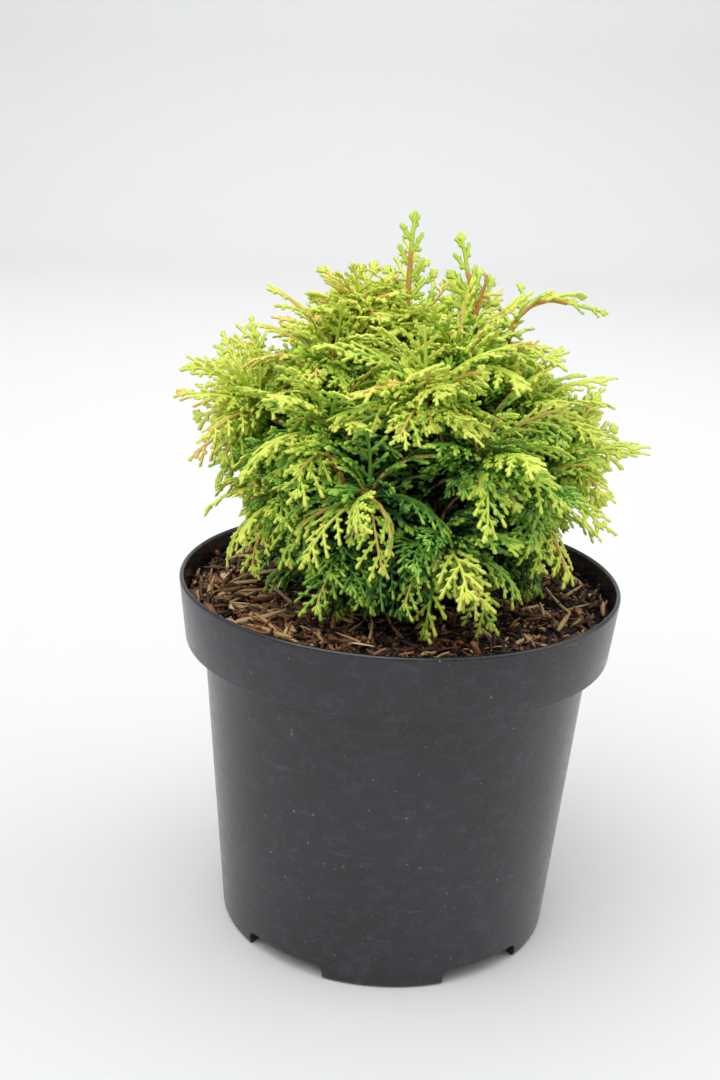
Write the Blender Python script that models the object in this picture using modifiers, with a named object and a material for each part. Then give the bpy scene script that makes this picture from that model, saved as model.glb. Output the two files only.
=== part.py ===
"""A dwarf hinoki cypress in its nursery pot, in metres, +Z up.

The origin is on the floor under the middle of the pot, and the side that is seen first faces -Y.
The plant is a short trunk, boughs that rise from it, and masses of flat sprays that the boughs carry.
"""

import math
import random
from dataclasses import dataclass, replace

import bmesh
import bpy
from mathutils import Matrix, Vector
from mathutils.bvhtree import BVHTree

# Fit between neighbours
GAP = 0.0003

# Pot
POT_SIDES = 30
POT_HEIGHT = 0.144
RIM_RADIUS = 0.0861
COLLAR_BASE_Z = 0.1186
COLLAR_BASE_RADIUS = 0.0835
BODY_TOP_RADIUS = 0.0762
BASE_RADIUS = 0.0665
POT_WALL = 0.0016
LIP = 0.0012
FLOOR_TOP_Z = 0.0082
FLOOR_UNDER_Z = 0.0055
FOOT_INNER_RADIUS = 0.057
FOOT_COUNT = 5
FOOT_BEVEL = 0.003
FOOT_BEVEL_WIDTH = 0.0012
FOOT_DRAFT = 0.001
NOTCH_WIDTH = 0.036
NOTCH_HEIGHT = 0.0065
NOTCH_DEPTH = 0.020
NOTCH_CIRCLE = 0.061
NOTCH_ROUND = 0.003
DRAIN_RADIUS = 0.0045
DRAIN_CIRCLE = 0.046
DRAIN_DEPTH = 0.012
DRAIN_SIDES = 8

# Bark mulch on the root ball
GROUND_Z = 0.1345
MULCH_RELIEF = 0.0021
MULCH_FLAT_RADIUS = 0.013
MULCH_FADE = 0.012
MULCH_SINK = 0.0012
MULCH_EDGE_DROP = 0.003
MULCH_RINGS = 4

# Trunk
TRUNK_FOOT = Vector((-0.003, 0.002, GROUND_Z + GAP))
TRUNK_LENGTH = 0.102
TRUNK_BOW = -0.010
TRUNK_RADIUS = 0.0043
TRUNK_TIP_RADIUS = 0.0012
TRUNK_TAPER = 0.9
TRUNK_FLARE = 0.0034
TRUNK_FLARE_FALL = 0.004375
TRUNK_POINTS = 10
TRUNK_SPACING = 1.25
FOOT_TRIM = 0.0004

# Boughs
BOUGH_ROOT_RADIUS = 0.0021
BOUGH_TIP_RADIUS = 0.0010
BOUGH_SHARE_OF_TRUNK = 0.62
BOUGH_LEAVE_RISE = 0.4
BOUGH_LEAVE_LIFT = 0.15
BOUGH_PULL = 0.9
BOUGH_POINTS = 4
BOUGH_NECK = 0.0025

# Masses: stems, twigs and sprays
STEM_POINTS = 4
STEM_RADIUS = 0.0011
STEM_END_RADIUS = 0.0008
TWIG_RADIUS = 0.0009
TWIG_END_RADIUS = 0.0007
SPRAY_THICKNESS = 0.0009
SPRAY_SINK = 0.02
SPRAY_STALK = 0.03
SPRAY_WIDTH = 0.66
SPRAY_CUP = 0.75
SPRAY_REACH = 0.92
SPRAY_TILT = 0.3
SPRAY_LENGTHS = (0.93, 1.07)
SPRAY_BENDS = (0.8, 1.2)
SPRAY_FREE = 0.36
SPRAY_SIZES = (1.0, 0.86, 0.74, 0.62)
# Teeth of a spray: share of its length and of its half width, and the same for the notch after
TEETH = ((0.42, 0.95, 0.54, 0.48), (0.76, 0.66, None, None))
TEETH_STAGGER = 0.03
# A dense mass has a lumpy core: its half length, and its width and height as shares of that
CORE_SHARES = (1.0, 0.92, 0.74)
CORE_LUMPS = 0.14
CORE_PLACE = 0.70
CORE_SIZES = (1.0, 0.92, 0.84, 0.76, 0.68)
# Sprays of a dense mass: turn aside and rise from the stem's heading, in degrees, and size
ROSETTE = (
    (0, 8, 1.0),
    (36, 34, 0.95),
    (-36, 34, 0.95),
    (70, 4, 0.92),
    (-70, 4, 0.92),
    (30, -34, 0.88),
    (-30, -34, 0.88),
    (0, 72, 0.92),
    (112, 44, 0.85),
)
ROSETTE_SHAKE = 9
ROSETTE_ROOT = 0.70
ROSETTE_SUNK = 0.86
# A slender shoot: the places, turns and sizes of its sprays and twigs along its stem
SHOOT_TIP = (0.96, 1.05)
SHOOT_TWIG_PLACES = (0.12, 0.72)
SHOOT_TWIG_TURNS = (0.65, 0.95)
SHOOT_TWIG_LENGTHS = (0.32, 0.40)
SHOOT_TWIG_SPRAY = 0.9
SHOOT_PAIR_PLACES = {1: 0.78, -1: 0.58}
SHOOT_PAIR_TURN = 0.8
SHOOT_PAIR_SPRAY = 0.8
# How far a mass keeps from its neighbours: its core from their spaces, its sprays from theirs
CORE_MARGIN = 0.0005
SPRAY_OVERHANG = 0.010
SPRAY_CLEARANCE = 0.0005
LIMB_CLEARANCE = 0.0003
LIMB_MARGIN = 0.0011
SQUARE_SWELL = 1.2
GROUND_MARGIN = 0.0022
RIM_MARGIN = 0.0012

DEG = math.pi / 180

# The crown is a dome: its masses lie on a spiral over it, low ones drooping and high ones upright
DOME_RADIUS = 0.083
DOME_MIDDLE_Z = 0.191
DOME_HALF_HEIGHT = 0.081
CROWN_COUNT = 21
CROWN_LOW_Z = 0.138
CROWN_HIGH_Z = 0.266
CROWN_FIRST = 235 * DEG
CROWN_TURN = 137.5 * DEG
CROWN_SHAKE = 5
CROWN_SIZES = (0.94, 1.06)
CROWN_STEEPENING = 1.2
CROWN_PITCHES = (22 * DEG, 76 * DEG)
CROWN_END_PITCHES = (4 * DEG, 70 * DEG)
CROWN_STEM = 0.026
CROWN_SPRAY = 0.029
CROWN_CORE = 0.0165
CROWN_BENDS = (80, 45)
CROWN_BOUGH_HEIGHTS = (0.1415, 0.2190)

# Single shoots: base point, azimuth, pitches, stem, spray, twigs, core, bend, bough root
SHOOTS = {
    "side_left": ((-0.041, -0.006, 0.2010), 176, 34, 12, 0.026, 0.027, 0, 0.012, 40, 0.1858),
    "side_right": ((0.041, 0.003, 0.1880), 5, 26, 2, 0.026, 0.026, 0, 0.012, 40, 0.1710),
    "leader_left": (None, 60, 88, 90, 0.032, 0.014, 1, 0, 25, None),
    "leader_right": ((0.023, 0.006, 0.2440), 150, 84, 66, 0.019, 0.014, 1, 0, 25, 0.2225),
    "arch_right": ((0.037, 0.008, 0.2400), 10, 78, -22, 0.027, 0.017, 1, 0, 30, 0.2185),
    "top_left": ((-0.0150, 0.004, 0.2345), 172, 62, 52, 0.018, 0.016, 0, 0.010, 30, 0.2240),
}


@dataclass
class Mass:
    """One mass of foliage: the stem's base and heading, and what it carries."""

    name: str
    base: Vector
    azimuth: float
    pitch: float
    end_pitch: float
    stem_length: float
    spray_length: float
    twigs: int
    core: float
    bend: float
    bough_height: float
    seed: int


def heading(azimuth, pitch):
    """Unit vector at an azimuth from +X and a pitch above the horizon, in radians."""
    level = math.cos(pitch)
    return Vector((level * math.cos(azimuth), level * math.sin(azimuth), math.sin(pitch)))


def dome_reach(z):
    """How far from the middle the dome of the crown reaches at a height."""
    share = (z - DOME_MIDDLE_Z) / DOME_HALF_HEIGHT
    return DOME_RADIUS * math.sqrt(max(0.0, 1 - share * share))


def dome_mass(i):
    """One mass of the dome, laid back from where its outermost spray ends."""
    chance = random.Random(3000 + i)
    share = (i + 0.5) / CROWN_COUNT
    tip_z = CROWN_LOW_Z + (CROWN_HIGH_Z - CROWN_LOW_Z) * share
    azimuth = CROWN_FIRST + CROWN_TURN * i + chance.uniform(-CROWN_SHAKE, CROWN_SHAKE) * DEG
    pitch, end_pitch = (
        low + (high - low) * share**CROWN_STEEPENING + chance.uniform(-CROWN_SHAKE, CROWN_SHAKE) * DEG
        for low, high in (CROWN_PITCHES, CROWN_END_PITCHES)
    )
    size = chance.uniform(*CROWN_SIZES)
    low, high = CROWN_BOUGH_HEIGHTS
    mass = Mass(
        f"foliage_{i + 1:02d}",
        Vector((0, 0, 0)),
        azimuth,
        pitch,
        end_pitch,
        CROWN_STEM * size,
        CROWN_SPRAY * size,
        0,
        CROWN_CORE,
        CROWN_BENDS[0] + (CROWN_BENDS[1] - CROWN_BENDS[0]) * share,
        low + (high - low) * share,
        i,
    )
    reach = dome_reach(tip_z)
    tip = Vector((reach * math.cos(azimuth), reach * math.sin(azimuth), tip_z))
    middle, _ = along(stem_line(mass), CORE_PLACE)
    droop = end_pitch - mass.bend * DEG / 2
    mass.base = tip - middle - heading(azimuth, droop) * mass.spray_length * SPRAY_REACH
    mass.base -= heading(azimuth, end_pitch) * mass.core * ROSETTE_ROOT
    return mass


def crown_masses():
    """Every mass of the crown: the dome's, from the lowest up, then the single shoots."""
    masses = [dome_mass(i) for i in range(CROWN_COUNT)]
    for name, sizes in SHOOTS.items():
        base, azimuth, pitch, end, stem, spray, twigs, core, bend, bough = sizes
        masses.append(
            Mass(
                f"foliage_{name}",
                Vector(base or trunk_point(1.0) + Vector((0, 0, GAP))),
                azimuth * DEG,
                pitch * DEG,
                end * DEG,
                stem,
                spray,
                twigs,
                core,
                bend,
                bough,
                len(masses),
            )
        )
    return masses


def stem_line(mass):
    """Points along the stem of a mass, which bends from its first pitch to its last."""
    step = mass.stem_length / (STEM_POINTS - 1)
    point = mass.base.copy()
    line = [point.copy()]
    for i in range(STEM_POINTS - 1):
        share = (i + 0.5) / (STEM_POINTS - 1)
        pitch = mass.pitch + (mass.end_pitch - mass.pitch) * share
        point += heading(mass.azimuth, pitch) * step
        line.append(point.copy())
    return line


def stem_radii(mass):
    """The radius of a mass's stem at each point of its line."""
    shares = [i / (STEM_POINTS - 1) for i in range(STEM_POINTS)]
    return [STEM_RADIUS + (STEM_END_RADIUS - STEM_RADIUS) * s for s in shares]


def along(line, share):
    """(point, direction) at a share of the way along a line of evenly spaced points."""
    place = min(max(share, 0.0), 0.9999) * (len(line) - 1)
    i = int(place)
    start, end = line[i], line[i + 1]
    return start.lerp(end, place - i), (end - start).normalized()


@dataclass
class Spray:
    """One flat spray: its root, its heading, the way its upper face looks, its size and bend."""

    root: Vector
    heading: Vector
    face: Vector
    length: float
    bend: float


@dataclass
class Twig:
    """A straight twig of a mass with its sprays. A spray at the stem's tip has no twig."""

    start: Vector
    end: Vector
    sprays: list


def square_to(vector, axis):
    """The part of a vector that is square to an axis, at length 1."""
    return (vector - axis * vector.dot(axis)).normalized()


def spray_maker(mass, chance):
    """A function that makes a spray of a mass whose upper face looks up and a little inwards."""
    out = Vector((math.cos(mass.azimuth), math.sin(mass.azimuth), 0))
    sky = Vector((0, 0, 1)) - SPRAY_TILT * out

    def spray(root, ahead, roll, size):
        face = Matrix.Rotation(roll, 3, ahead) @ square_to(sky, ahead)
        length = mass.spray_length * size * chance.uniform(*SPRAY_LENGTHS)
        bend = mass.bend * chance.uniform(*SPRAY_BENDS) * DEG
        return Spray(root, ahead, face, length, bend)

    return spray


def rosette_twigs(mass, core_tree):
    """The twigs of a dense mass, which leave its core on all sides but the inner one."""
    chance = random.Random(1000 + mass.seed)
    spray = spray_maker(mass, chance)
    middle, ahead = along(stem_line(mass), CORE_PLACE)
    side = Vector((-math.sin(mass.azimuth), math.cos(mass.azimuth), 0))
    up = ahead.cross(side)
    twigs = []
    for turn, rise, size in ROSETTE:
        turn = (turn + chance.uniform(-ROSETTE_SHAKE, ROSETTE_SHAKE)) * DEG
        rise = (rise + chance.uniform(-ROSETTE_SHAKE, ROSETTE_SHAKE)) * DEG
        level = ahead * math.cos(turn) + side * math.sin(turn)
        away = level * math.cos(rise) + up * math.sin(rise)
        _, _, _, reach = core_tree.ray_cast(middle, away)
        root = middle + away * min(mass.core * ROSETTE_ROOT, reach * ROSETTE_SUNK)
        roll = SPRAY_TILT * math.sin(turn)
        twigs.append(Twig(middle, root, [spray(root, away, roll, size)]))
    return twigs


def shoot_twigs(mass):
    """The twigs of a slender shoot: sprays at its tip and on alternate sides of its stem."""
    chance = random.Random(1000 + mass.seed)
    spray = spray_maker(mass, chance)
    line = stem_line(mass)
    side = Vector((-math.sin(mass.azimuth), math.cos(mass.azimuth), 0))

    def aside(ahead, turn):
        """A heading turned to one side of another."""
        return (ahead * math.cos(turn) + side * math.sin(turn)).normalized()

    place, size = SHOOT_TIP
    tip, ahead = along(line, place)
    twigs = [Twig(tip, tip, [spray(tip, ahead, chance.uniform(-0.2, 0.2), size)])]
    first, last = SHOOT_TWIG_PLACES
    for i in range(mass.twigs):
        hand = 1 if (i + mass.seed) % 2 else -1
        start, ahead = along(line, first + (last - first) * i / max(1, mass.twigs - 1))
        away = aside(ahead, hand * chance.uniform(*SHOOT_TWIG_TURNS))
        end = start + away * mass.stem_length * chance.uniform(*SHOOT_TWIG_LENGTHS)
        root = end - away * TWIG_RADIUS
        twigs.append(Twig(start, end, [spray(root, away, SPRAY_TILT * hand, SHOOT_TWIG_SPRAY)]))
    for hand, place in SHOOT_PAIR_PLACES.items():
        root, ahead = along(line, place)
        away = aside(ahead, SHOOT_PAIR_TURN * hand)
        twigs.append(Twig(root, root, [spray(root, away, SPRAY_TILT * hand, SHOOT_PAIR_SPRAY)]))
    return twigs


def bent(spray, along_it, aside, through):
    """A point of a spray in space, from its place along, across and through the flat spray.

    The spray bends down along its length and a little at its sides.
    """
    angle = spray.bend * along_it / spray.length
    radius = spray.length / spray.bend
    across = spray.face.cross(spray.heading)
    ahead = radius * math.sin(angle) + through * math.sin(angle)
    sunk = radius * (1 - math.cos(angle)) - through * math.cos(angle)
    sunk += SPRAY_CUP * aside * aside / spray.length
    return spray.root + spray.heading * ahead + across * aside - spray.face * sunk


def spray_outline():
    """The toothed outline of a flat spray of length 1, up one side from its stalk and back."""
    sides = {}
    for hand in (1, -1):
        points = [(-SPRAY_SINK, SPRAY_STALK * hand)]
        for tooth, wide, notch, narrow in TEETH:
            points.append((tooth + TEETH_STAGGER * hand, wide * SPRAY_WIDTH / 2 * hand))
            if notch:
                points.append((notch + TEETH_STAGGER * hand, narrow * SPRAY_WIDTH / 2 * hand))
        sides[hand] = points
    return sides[-1] + [(1.0, 0.0)] + sides[1][::-1]


def spray_plate(collection):
    """The flat plate of a spray of length 1 and thickness 1, which every spray is bent from."""
    curve = bpy.data.curves.new("plate", "CURVE")
    curve.dimensions = "2D"
    curve.fill_mode = "BOTH"
    curve.extrude = 0.5
    outline = spray_outline()
    spline = curve.splines.new("POLY")
    spline.points.add(len(outline) - 1)
    for point, (ahead, aside) in zip(spline.points, outline):
        point.co = (ahead, aside, 0.0, 1.0)
    spline.use_cyclic_u = True
    flat = add_object("plate", curve, collection)
    mesh = evaluated_mesh(flat)
    weld(mesh)
    bpy.data.objects.remove(flat)
    bpy.data.curves.remove(curve)
    return mesh


class Canopy:
    """The masses with what they keep clear of: each other, the limbs, the mulch and the pot."""

    def __init__(self, masses, plate):
        self.masses = masses
        self.sites = {m.name: along(stem_line(m), CORE_PLACE)[0] for m in masses}
        self.limbs = [("trunk", *trunk_line())]
        for mass in masses:
            if mass.bough_height is not None:
                self.limbs.append((bough_name(mass), *bough_line(mass)))
            self.limbs.append((mass.name, stem_line(mass), stem_radii(mass)))
        self.limb_trees = {
            name: surface_tree(*tube_shape(line, [r + LIMB_CLEARANCE for r in radii]))
            for name, line, radii in self.limbs
        }
        self.corners = [vertex.co.copy() for vertex in plate.vertices]
        self.sides = [tuple(face.vertices) for face in plate.polygons]
        self.cores = {m.name: self.core_shape(m) for m in masses if m.core}
        self.core_trees = {name: surface_tree(*shape) for name, shape in self.cores.items()}
        self.taken = {m.name: [] for m in masses}
        self.twigs = {m.name: [] for m in masses}
        self.grow()

    def beyond_cell(self, name, point):
        """How far a point is past the space of its own mass, into a neighbour's."""
        own = self.sites[name]
        past = -1.0
        for other, site in self.sites.items():
            if other != name:
                axis = site - own
                past = max(past, (point - (own + site) / 2).dot(axis) / axis.length)
        return past

    def off_limbs(self, point, own_limb):
        """Whether a point is clear of the trunk and of every bough and stem but its own."""
        for name, line, radii in self.limbs:
            if name == own_limb:
                continue
            for i in range(len(line) - 1):
                near, share = nearest_on(line[i], line[i + 1], point)
                radius = radii[i] + (radii[i + 1] - radii[i]) * share
                if (point - near).length < radius + LIMB_MARGIN:
                    return False
        return True

    def off_pot(self, point):
        """Whether a point is above the mulch and clear of the pot's rim."""
        out = math.hypot(point.x, point.y)
        over_rim = point.z > POT_HEIGHT + RIM_MARGIN
        within = out < rim_inner_radius(point.z) - RIM_MARGIN
        return point.z > GROUND_Z + GROUND_MARGIN and (over_rim or within)

    def core_shape(self, mass):
        """(points, faces) of a dense mass's lumpy core, as large as its space and limbs allow."""
        middle, ahead = along(stem_line(mass), CORE_PLACE)
        up = square_to(Vector((0, 0, 1)), ahead)
        axes = Matrix((ahead, up.cross(ahead), up)).transposed()
        work = bmesh.new()
        bmesh.ops.create_icosphere(work, subdivisions=2, radius=1.0)
        faces = [tuple(v.index for v in face.verts) for face in work.faces]
        ball = [vertex.co.copy() for vertex in work.verts]
        work.free()
        for size in CORE_SIZES:
            chance = random.Random(2000 + mass.seed)
            points = []
            for co in ball:
                lump = mass.core * size * (1 + chance.uniform(-CORE_LUMPS, CORE_LUMPS))
                shaped = axes @ Vector(a * b * lump for a, b in zip(co, CORE_SHARES))
                reach = 1.0
                while reach > 0.2 and not self.core_fits(mass, middle + shaped * reach):
                    reach -= 0.05
                points.append(middle + shaped * reach)
            if not self.on_limbs(surface_tree(points, faces), mass.name):
                break
        return points, faces

    def on_limbs(self, tree, own_stem):
        """Whether a surface crosses the trunk, a bough, or a stem other than its own."""
        return any(
            tree.overlap(limb) for name, limb in self.limb_trees.items() if name != own_stem
        )

    def core_fits(self, mass, point):
        """Whether a point of a core is inside its mass's own space."""
        inside = self.beyond_cell(mass.name, point) < -CORE_MARGIN
        return inside and self.off_pot(point) and self.off_limbs(point, mass.name)

    def blade_points(self, spray, thickness, first=-1.0):
        """The corners of a spray's blade, which can be cut short near its root."""
        return [
            bent(spray, max(c.x, first) * spray.length, c.y * spray.length, c.z * thickness)
            for c in self.corners
        ]

    def spray_fits(self, mass, spray):
        """Whether a spray has room: (fits, its tree for others, its tree for its own mass)."""
        samples = [bent(spray, a * spray.length, b * spray.length, 0) for a, b in spray_samples()]
        for point in samples:
            if self.beyond_cell(mass.name, point) > SPRAY_OVERHANG:
                return None
            if not self.off_pot(point):
                return None
        thick = SPRAY_THICKNESS + 2 * SPRAY_CLEARANCE
        tree = surface_tree(self.blade_points(spray, thick), self.sides)
        if self.on_limbs(tree, mass.name):
            return None
        for other in self.masses:
            if other.name == mass.name:
                continue
            if other.core and tree.overlap(self.core_trees[other.name]):
                return None
            if any(tree.overlap(taken) for taken, _ in self.taken[other.name]):
                return None
        outer = self.blade_points(spray, SPRAY_THICKNESS, SPRAY_FREE)
        own_tree = surface_tree(outer, self.sides)
        if any(own_tree.overlap(own) for _, own in self.taken[mass.name]):
            return None
        return tree, own_tree

    def grow(self):
        """Gives each mass its twigs in turn, so that neighbours share the room between them."""
        wanted = {
            m.name: rosette_twigs(m, self.core_trees[m.name]) if m.core else shoot_twigs(m)
            for m in self.masses
        }
        for i in range(max(len(twigs) for twigs in wanted.values())):
            for mass in self.masses:
                if i >= len(wanted[mass.name]):
                    continue
                twig = wanted[mass.name][i]
                sprays = []
                for spray in twig.sprays:
                    for size in SPRAY_SIZES:
                        tried = replace(spray, length=spray.length * size)
                        trees = self.spray_fits(mass, tried)
                        if trees:
                            sprays.append(tried)
                            self.taken[mass.name].append(trees)
                            break
                if sprays:
                    self.twigs[mass.name].append(Twig(twig.start, twig.end, sprays))


def surface_tree(points, faces):
    """A search tree of a surface, for finding what crosses it."""
    return BVHTree.FromPolygons(points, faces)


def tube_shape(line, radii):
    """(points, faces) of a four-sided tube along a line, open at its ends."""
    points, faces = [], []
    for i, (place, radius) in enumerate(zip(line, radii)):
        ahead = (line[min(i + 1, len(line) - 1)] - line[max(i - 1, 0)]).normalized()
        side = ahead.orthogonal().normalized()
        other = ahead.cross(side)
        points += [
            place + (side * c + other * d) * radius * SQUARE_SWELL
            for c, d in ((1, 0), (0, 1), (-1, 0), (0, -1))
        ]
        if i:
            faces += [
                (4 * i - 4 + k, 4 * i - 4 + (k + 1) % 4, 4 * i + (k + 1) % 4, 4 * i + k)
                for k in range(4)
            ]
    return points, faces


def nearest_on(start, end, point):
    """(nearest point of a stretch of line, its share of the way)."""
    run = end - start
    share = min(max((point - start).dot(run) / run.length_squared, 0.0), 1.0)
    return start + run * share, share


def spray_samples():
    """Flat places over a spray of length 1 that stand for all of it in a test of its room."""
    rim = spray_outline()[1:-1]
    halfway = [((a[0] + b[0]) / 2, (a[1] + b[1]) / 2) for a, b in zip(rim, rim[1:])]
    return [(share, 0.0) for share in (0.1, 0.3, 0.5, 0.7, 0.9)] + rim + halfway


def bough_name(mass):
    """The name of the bough that carries a mass."""
    return mass.name.replace("foliage_", "bough_")


def trunk_point(share):
    """The trunk's middle at a share of its length. It bows to the left and comes back."""
    bow = TRUNK_BOW * math.sin(math.pi * share)
    return TRUNK_FOOT + Vector((bow, 0.3 * bow, TRUNK_LENGTH * share))


def trunk_radius(share):
    """The trunk's radius at a share of its length, with the flare at its foot."""
    taper = TRUNK_RADIUS + (TRUNK_TIP_RADIUS - TRUNK_RADIUS) * share**TRUNK_TAPER
    return taper + TRUNK_FLARE * math.exp(-share * TRUNK_LENGTH / TRUNK_FLARE_FALL)


def trunk_line(extra=0.0):
    """(points, radii) of the trunk, which can be swollen by an extra radius."""
    shares = [(i / (TRUNK_POINTS - 1)) ** TRUNK_SPACING for i in range(TRUNK_POINTS)]
    return [trunk_point(s) for s in shares], [trunk_radius(s) + extra for s in shares]


def bough_line(mass):
    """(points, radii) of the bough of a mass, from inside the trunk to the mass's stem."""
    share = (mass.bough_height - GROUND_Z) / TRUNK_LENGTH
    start = trunk_point(share)
    out = mass.base - start
    azimuth = math.atan2(out.y, out.x)
    rise = math.atan2(out.z, math.hypot(out.x, out.y))
    leave = heading(azimuth, BOUGH_LEAVE_RISE * rise + BOUGH_LEAVE_LIFT)
    arrive = heading(mass.azimuth, mass.pitch)
    tip = mass.base - arrive * GAP
    neck = tip - arrive * BOUGH_NECK
    pull = out.length * BOUGH_PULL
    points, radii = [], []
    root = min(BOUGH_ROOT_RADIUS, trunk_radius(share) * BOUGH_SHARE_OF_TRUNK)
    for i in range(BOUGH_POINTS):
        t = i / (BOUGH_POINTS - 1)
        h00 = 2 * t**3 - 3 * t**2 + 1
        h10 = t**3 - 2 * t**2 + t
        h01 = 3 * t**2 - 2 * t**3
        h11 = t**3 - t**2
        points.append(start * h00 + leave * pull * h10 + neck * h01 + arrive * pull * h11)
        radii.append(root + (BOUGH_TIP_RADIUS - root) * t)
    return points + [tip], radii + [BOUGH_TIP_RADIUS]


def rim_inner_radius(z):
    """The pot's inner radius beside the mulch, at a height."""
    share = (z - COLLAR_BASE_Z) / (POT_HEIGHT - COLLAR_BASE_Z)
    return COLLAR_BASE_RADIUS + (RIM_RADIUS - COLLAR_BASE_RADIUS) * share - POT_WALL


def body_radius(z):
    """The pot's outer radius below its collar."""
    return BASE_RADIUS + (BODY_TOP_RADIUS - BASE_RADIUS) * z / COLLAR_BASE_Z


def material(name, colour, roughness):
    """A Principled material. Nothing on the plant or pot is metal."""
    made = bpy.data.materials.new(name)
    made.use_nodes = True
    shader = made.node_tree.nodes["Principled BSDF"]
    shader.inputs["Base Color"].default_value = (*colour, 1.0)
    shader.inputs["Roughness"].default_value = roughness
    shader.inputs["Metallic"].default_value = 0.0
    made.diffuse_color = (*colour, 1.0)
    return made


def add_object(name, data, collection, look=None):
    """An object in a collection, with its material."""
    made = bpy.data.objects.new(name, data)
    collection.objects.link(made)
    if look is not None:
        data.materials.clear()
        data.materials.append(look)
    return made


def evaluated_mesh(obj):
    """The mesh that an object's modifiers or bevel make, as a new mesh in the object's space."""
    bpy.context.view_layer.update()
    graph = bpy.context.evaluated_depsgraph_get()
    return bpy.data.meshes.new_from_object(obj.evaluated_get(graph))


def settle(obj):
    """Applies every modifier of a mesh object."""
    mesh = evaluated_mesh(obj)
    obj.modifiers.clear()
    obj.data = mesh


def weld(mesh, distance=1e-6):
    """Joins points that coincide, as at a curve's caps."""
    work = bmesh.new()
    work.from_mesh(mesh)
    bmesh.ops.remove_doubles(work, verts=work.verts, dist=distance)
    bmesh.ops.recalc_face_normals(work, faces=work.faces)
    work.to_mesh(mesh)
    work.free()


def tube(name, line, radii, resolution, collection, look=None):
    """A tapering limb along a line, as a closed mesh."""
    curve = bpy.data.curves.new(name, "CURVE")
    curve.dimensions = "3D"
    curve.bevel_depth = 1.0
    curve.bevel_resolution = resolution
    curve.use_fill_caps = True
    spline = curve.splines.new("POLY")
    spline.points.add(len(line) - 1)
    for point, place, radius in zip(spline.points, line, radii):
        point.co = (*place, 1.0)
        point.radius = radius
    shape = add_object(name + "_line", curve, collection)
    mesh = evaluated_mesh(shape)
    mesh.name = name
    weld(mesh)
    bpy.data.objects.remove(shape)
    bpy.data.curves.remove(curve)
    return add_object(name, mesh, collection, look)


def turned(name, profile, collection, look):
    """A solid of revolution about Z from a profile of (radius, height), top to bottom outside."""
    mesh = bpy.data.meshes.new(name)
    points = [(radius, 0.0, height) for radius, height in profile]
    mesh.from_pydata(points, [(i, i + 1) for i in range(len(points) - 1)], [])
    made = add_object(name, mesh, collection, look)
    screw = made.modifiers.new("turn", "SCREW")
    screw.steps = POT_SIDES
    screw.render_steps = POT_SIDES
    screw.use_merge_vertices = True
    screw.merge_threshold = 0.00005
    settle(made)
    weld(made.data, 0.00002)
    return made


def helper(obj):
    """Marks an object as a cutter or a piece to join, which isn't a part by itself."""
    obj.hide_render = True
    obj.display_type = "WIRE"
    return obj


def combine(obj, other, operation, solver="EXACT"):
    """Cuts or joins a mesh object with an object or a collection, and applies it."""
    boolean = obj.modifiers.new(operation.lower(), "BOOLEAN")
    boolean.operation = operation
    boolean.solver = solver
    if isinstance(other, bpy.types.Collection):
        boolean.operand_type = "COLLECTION"
        boolean.collection = other
    else:
        boolean.object = other
    settle(obj)


def clear_collection(collection):
    """Removes a collection's objects."""
    for obj in list(collection.objects):
        bpy.data.objects.remove(obj)


def block(size, collection):
    """A box cutter centred on the origin."""
    mesh = bpy.data.meshes.new("block")
    work = bmesh.new()
    bmesh.ops.create_cube(work, size=1.0, matrix=Matrix.Diagonal((*size, 1.0)))
    work.to_mesh(mesh)
    work.free()
    return helper(add_object("block", mesh, collection))


def rod(radius, length, sides, collection):
    """A round cutter along Z, centred on the origin."""
    mesh = bpy.data.meshes.new("rod")
    work = bmesh.new()
    bmesh.ops.create_cone(
        work, cap_ends=True, segments=sides, radius1=radius, radius2=radius, depth=length
    )
    work.to_mesh(mesh)
    work.free()
    return helper(add_object("rod", mesh, collection))


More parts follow.
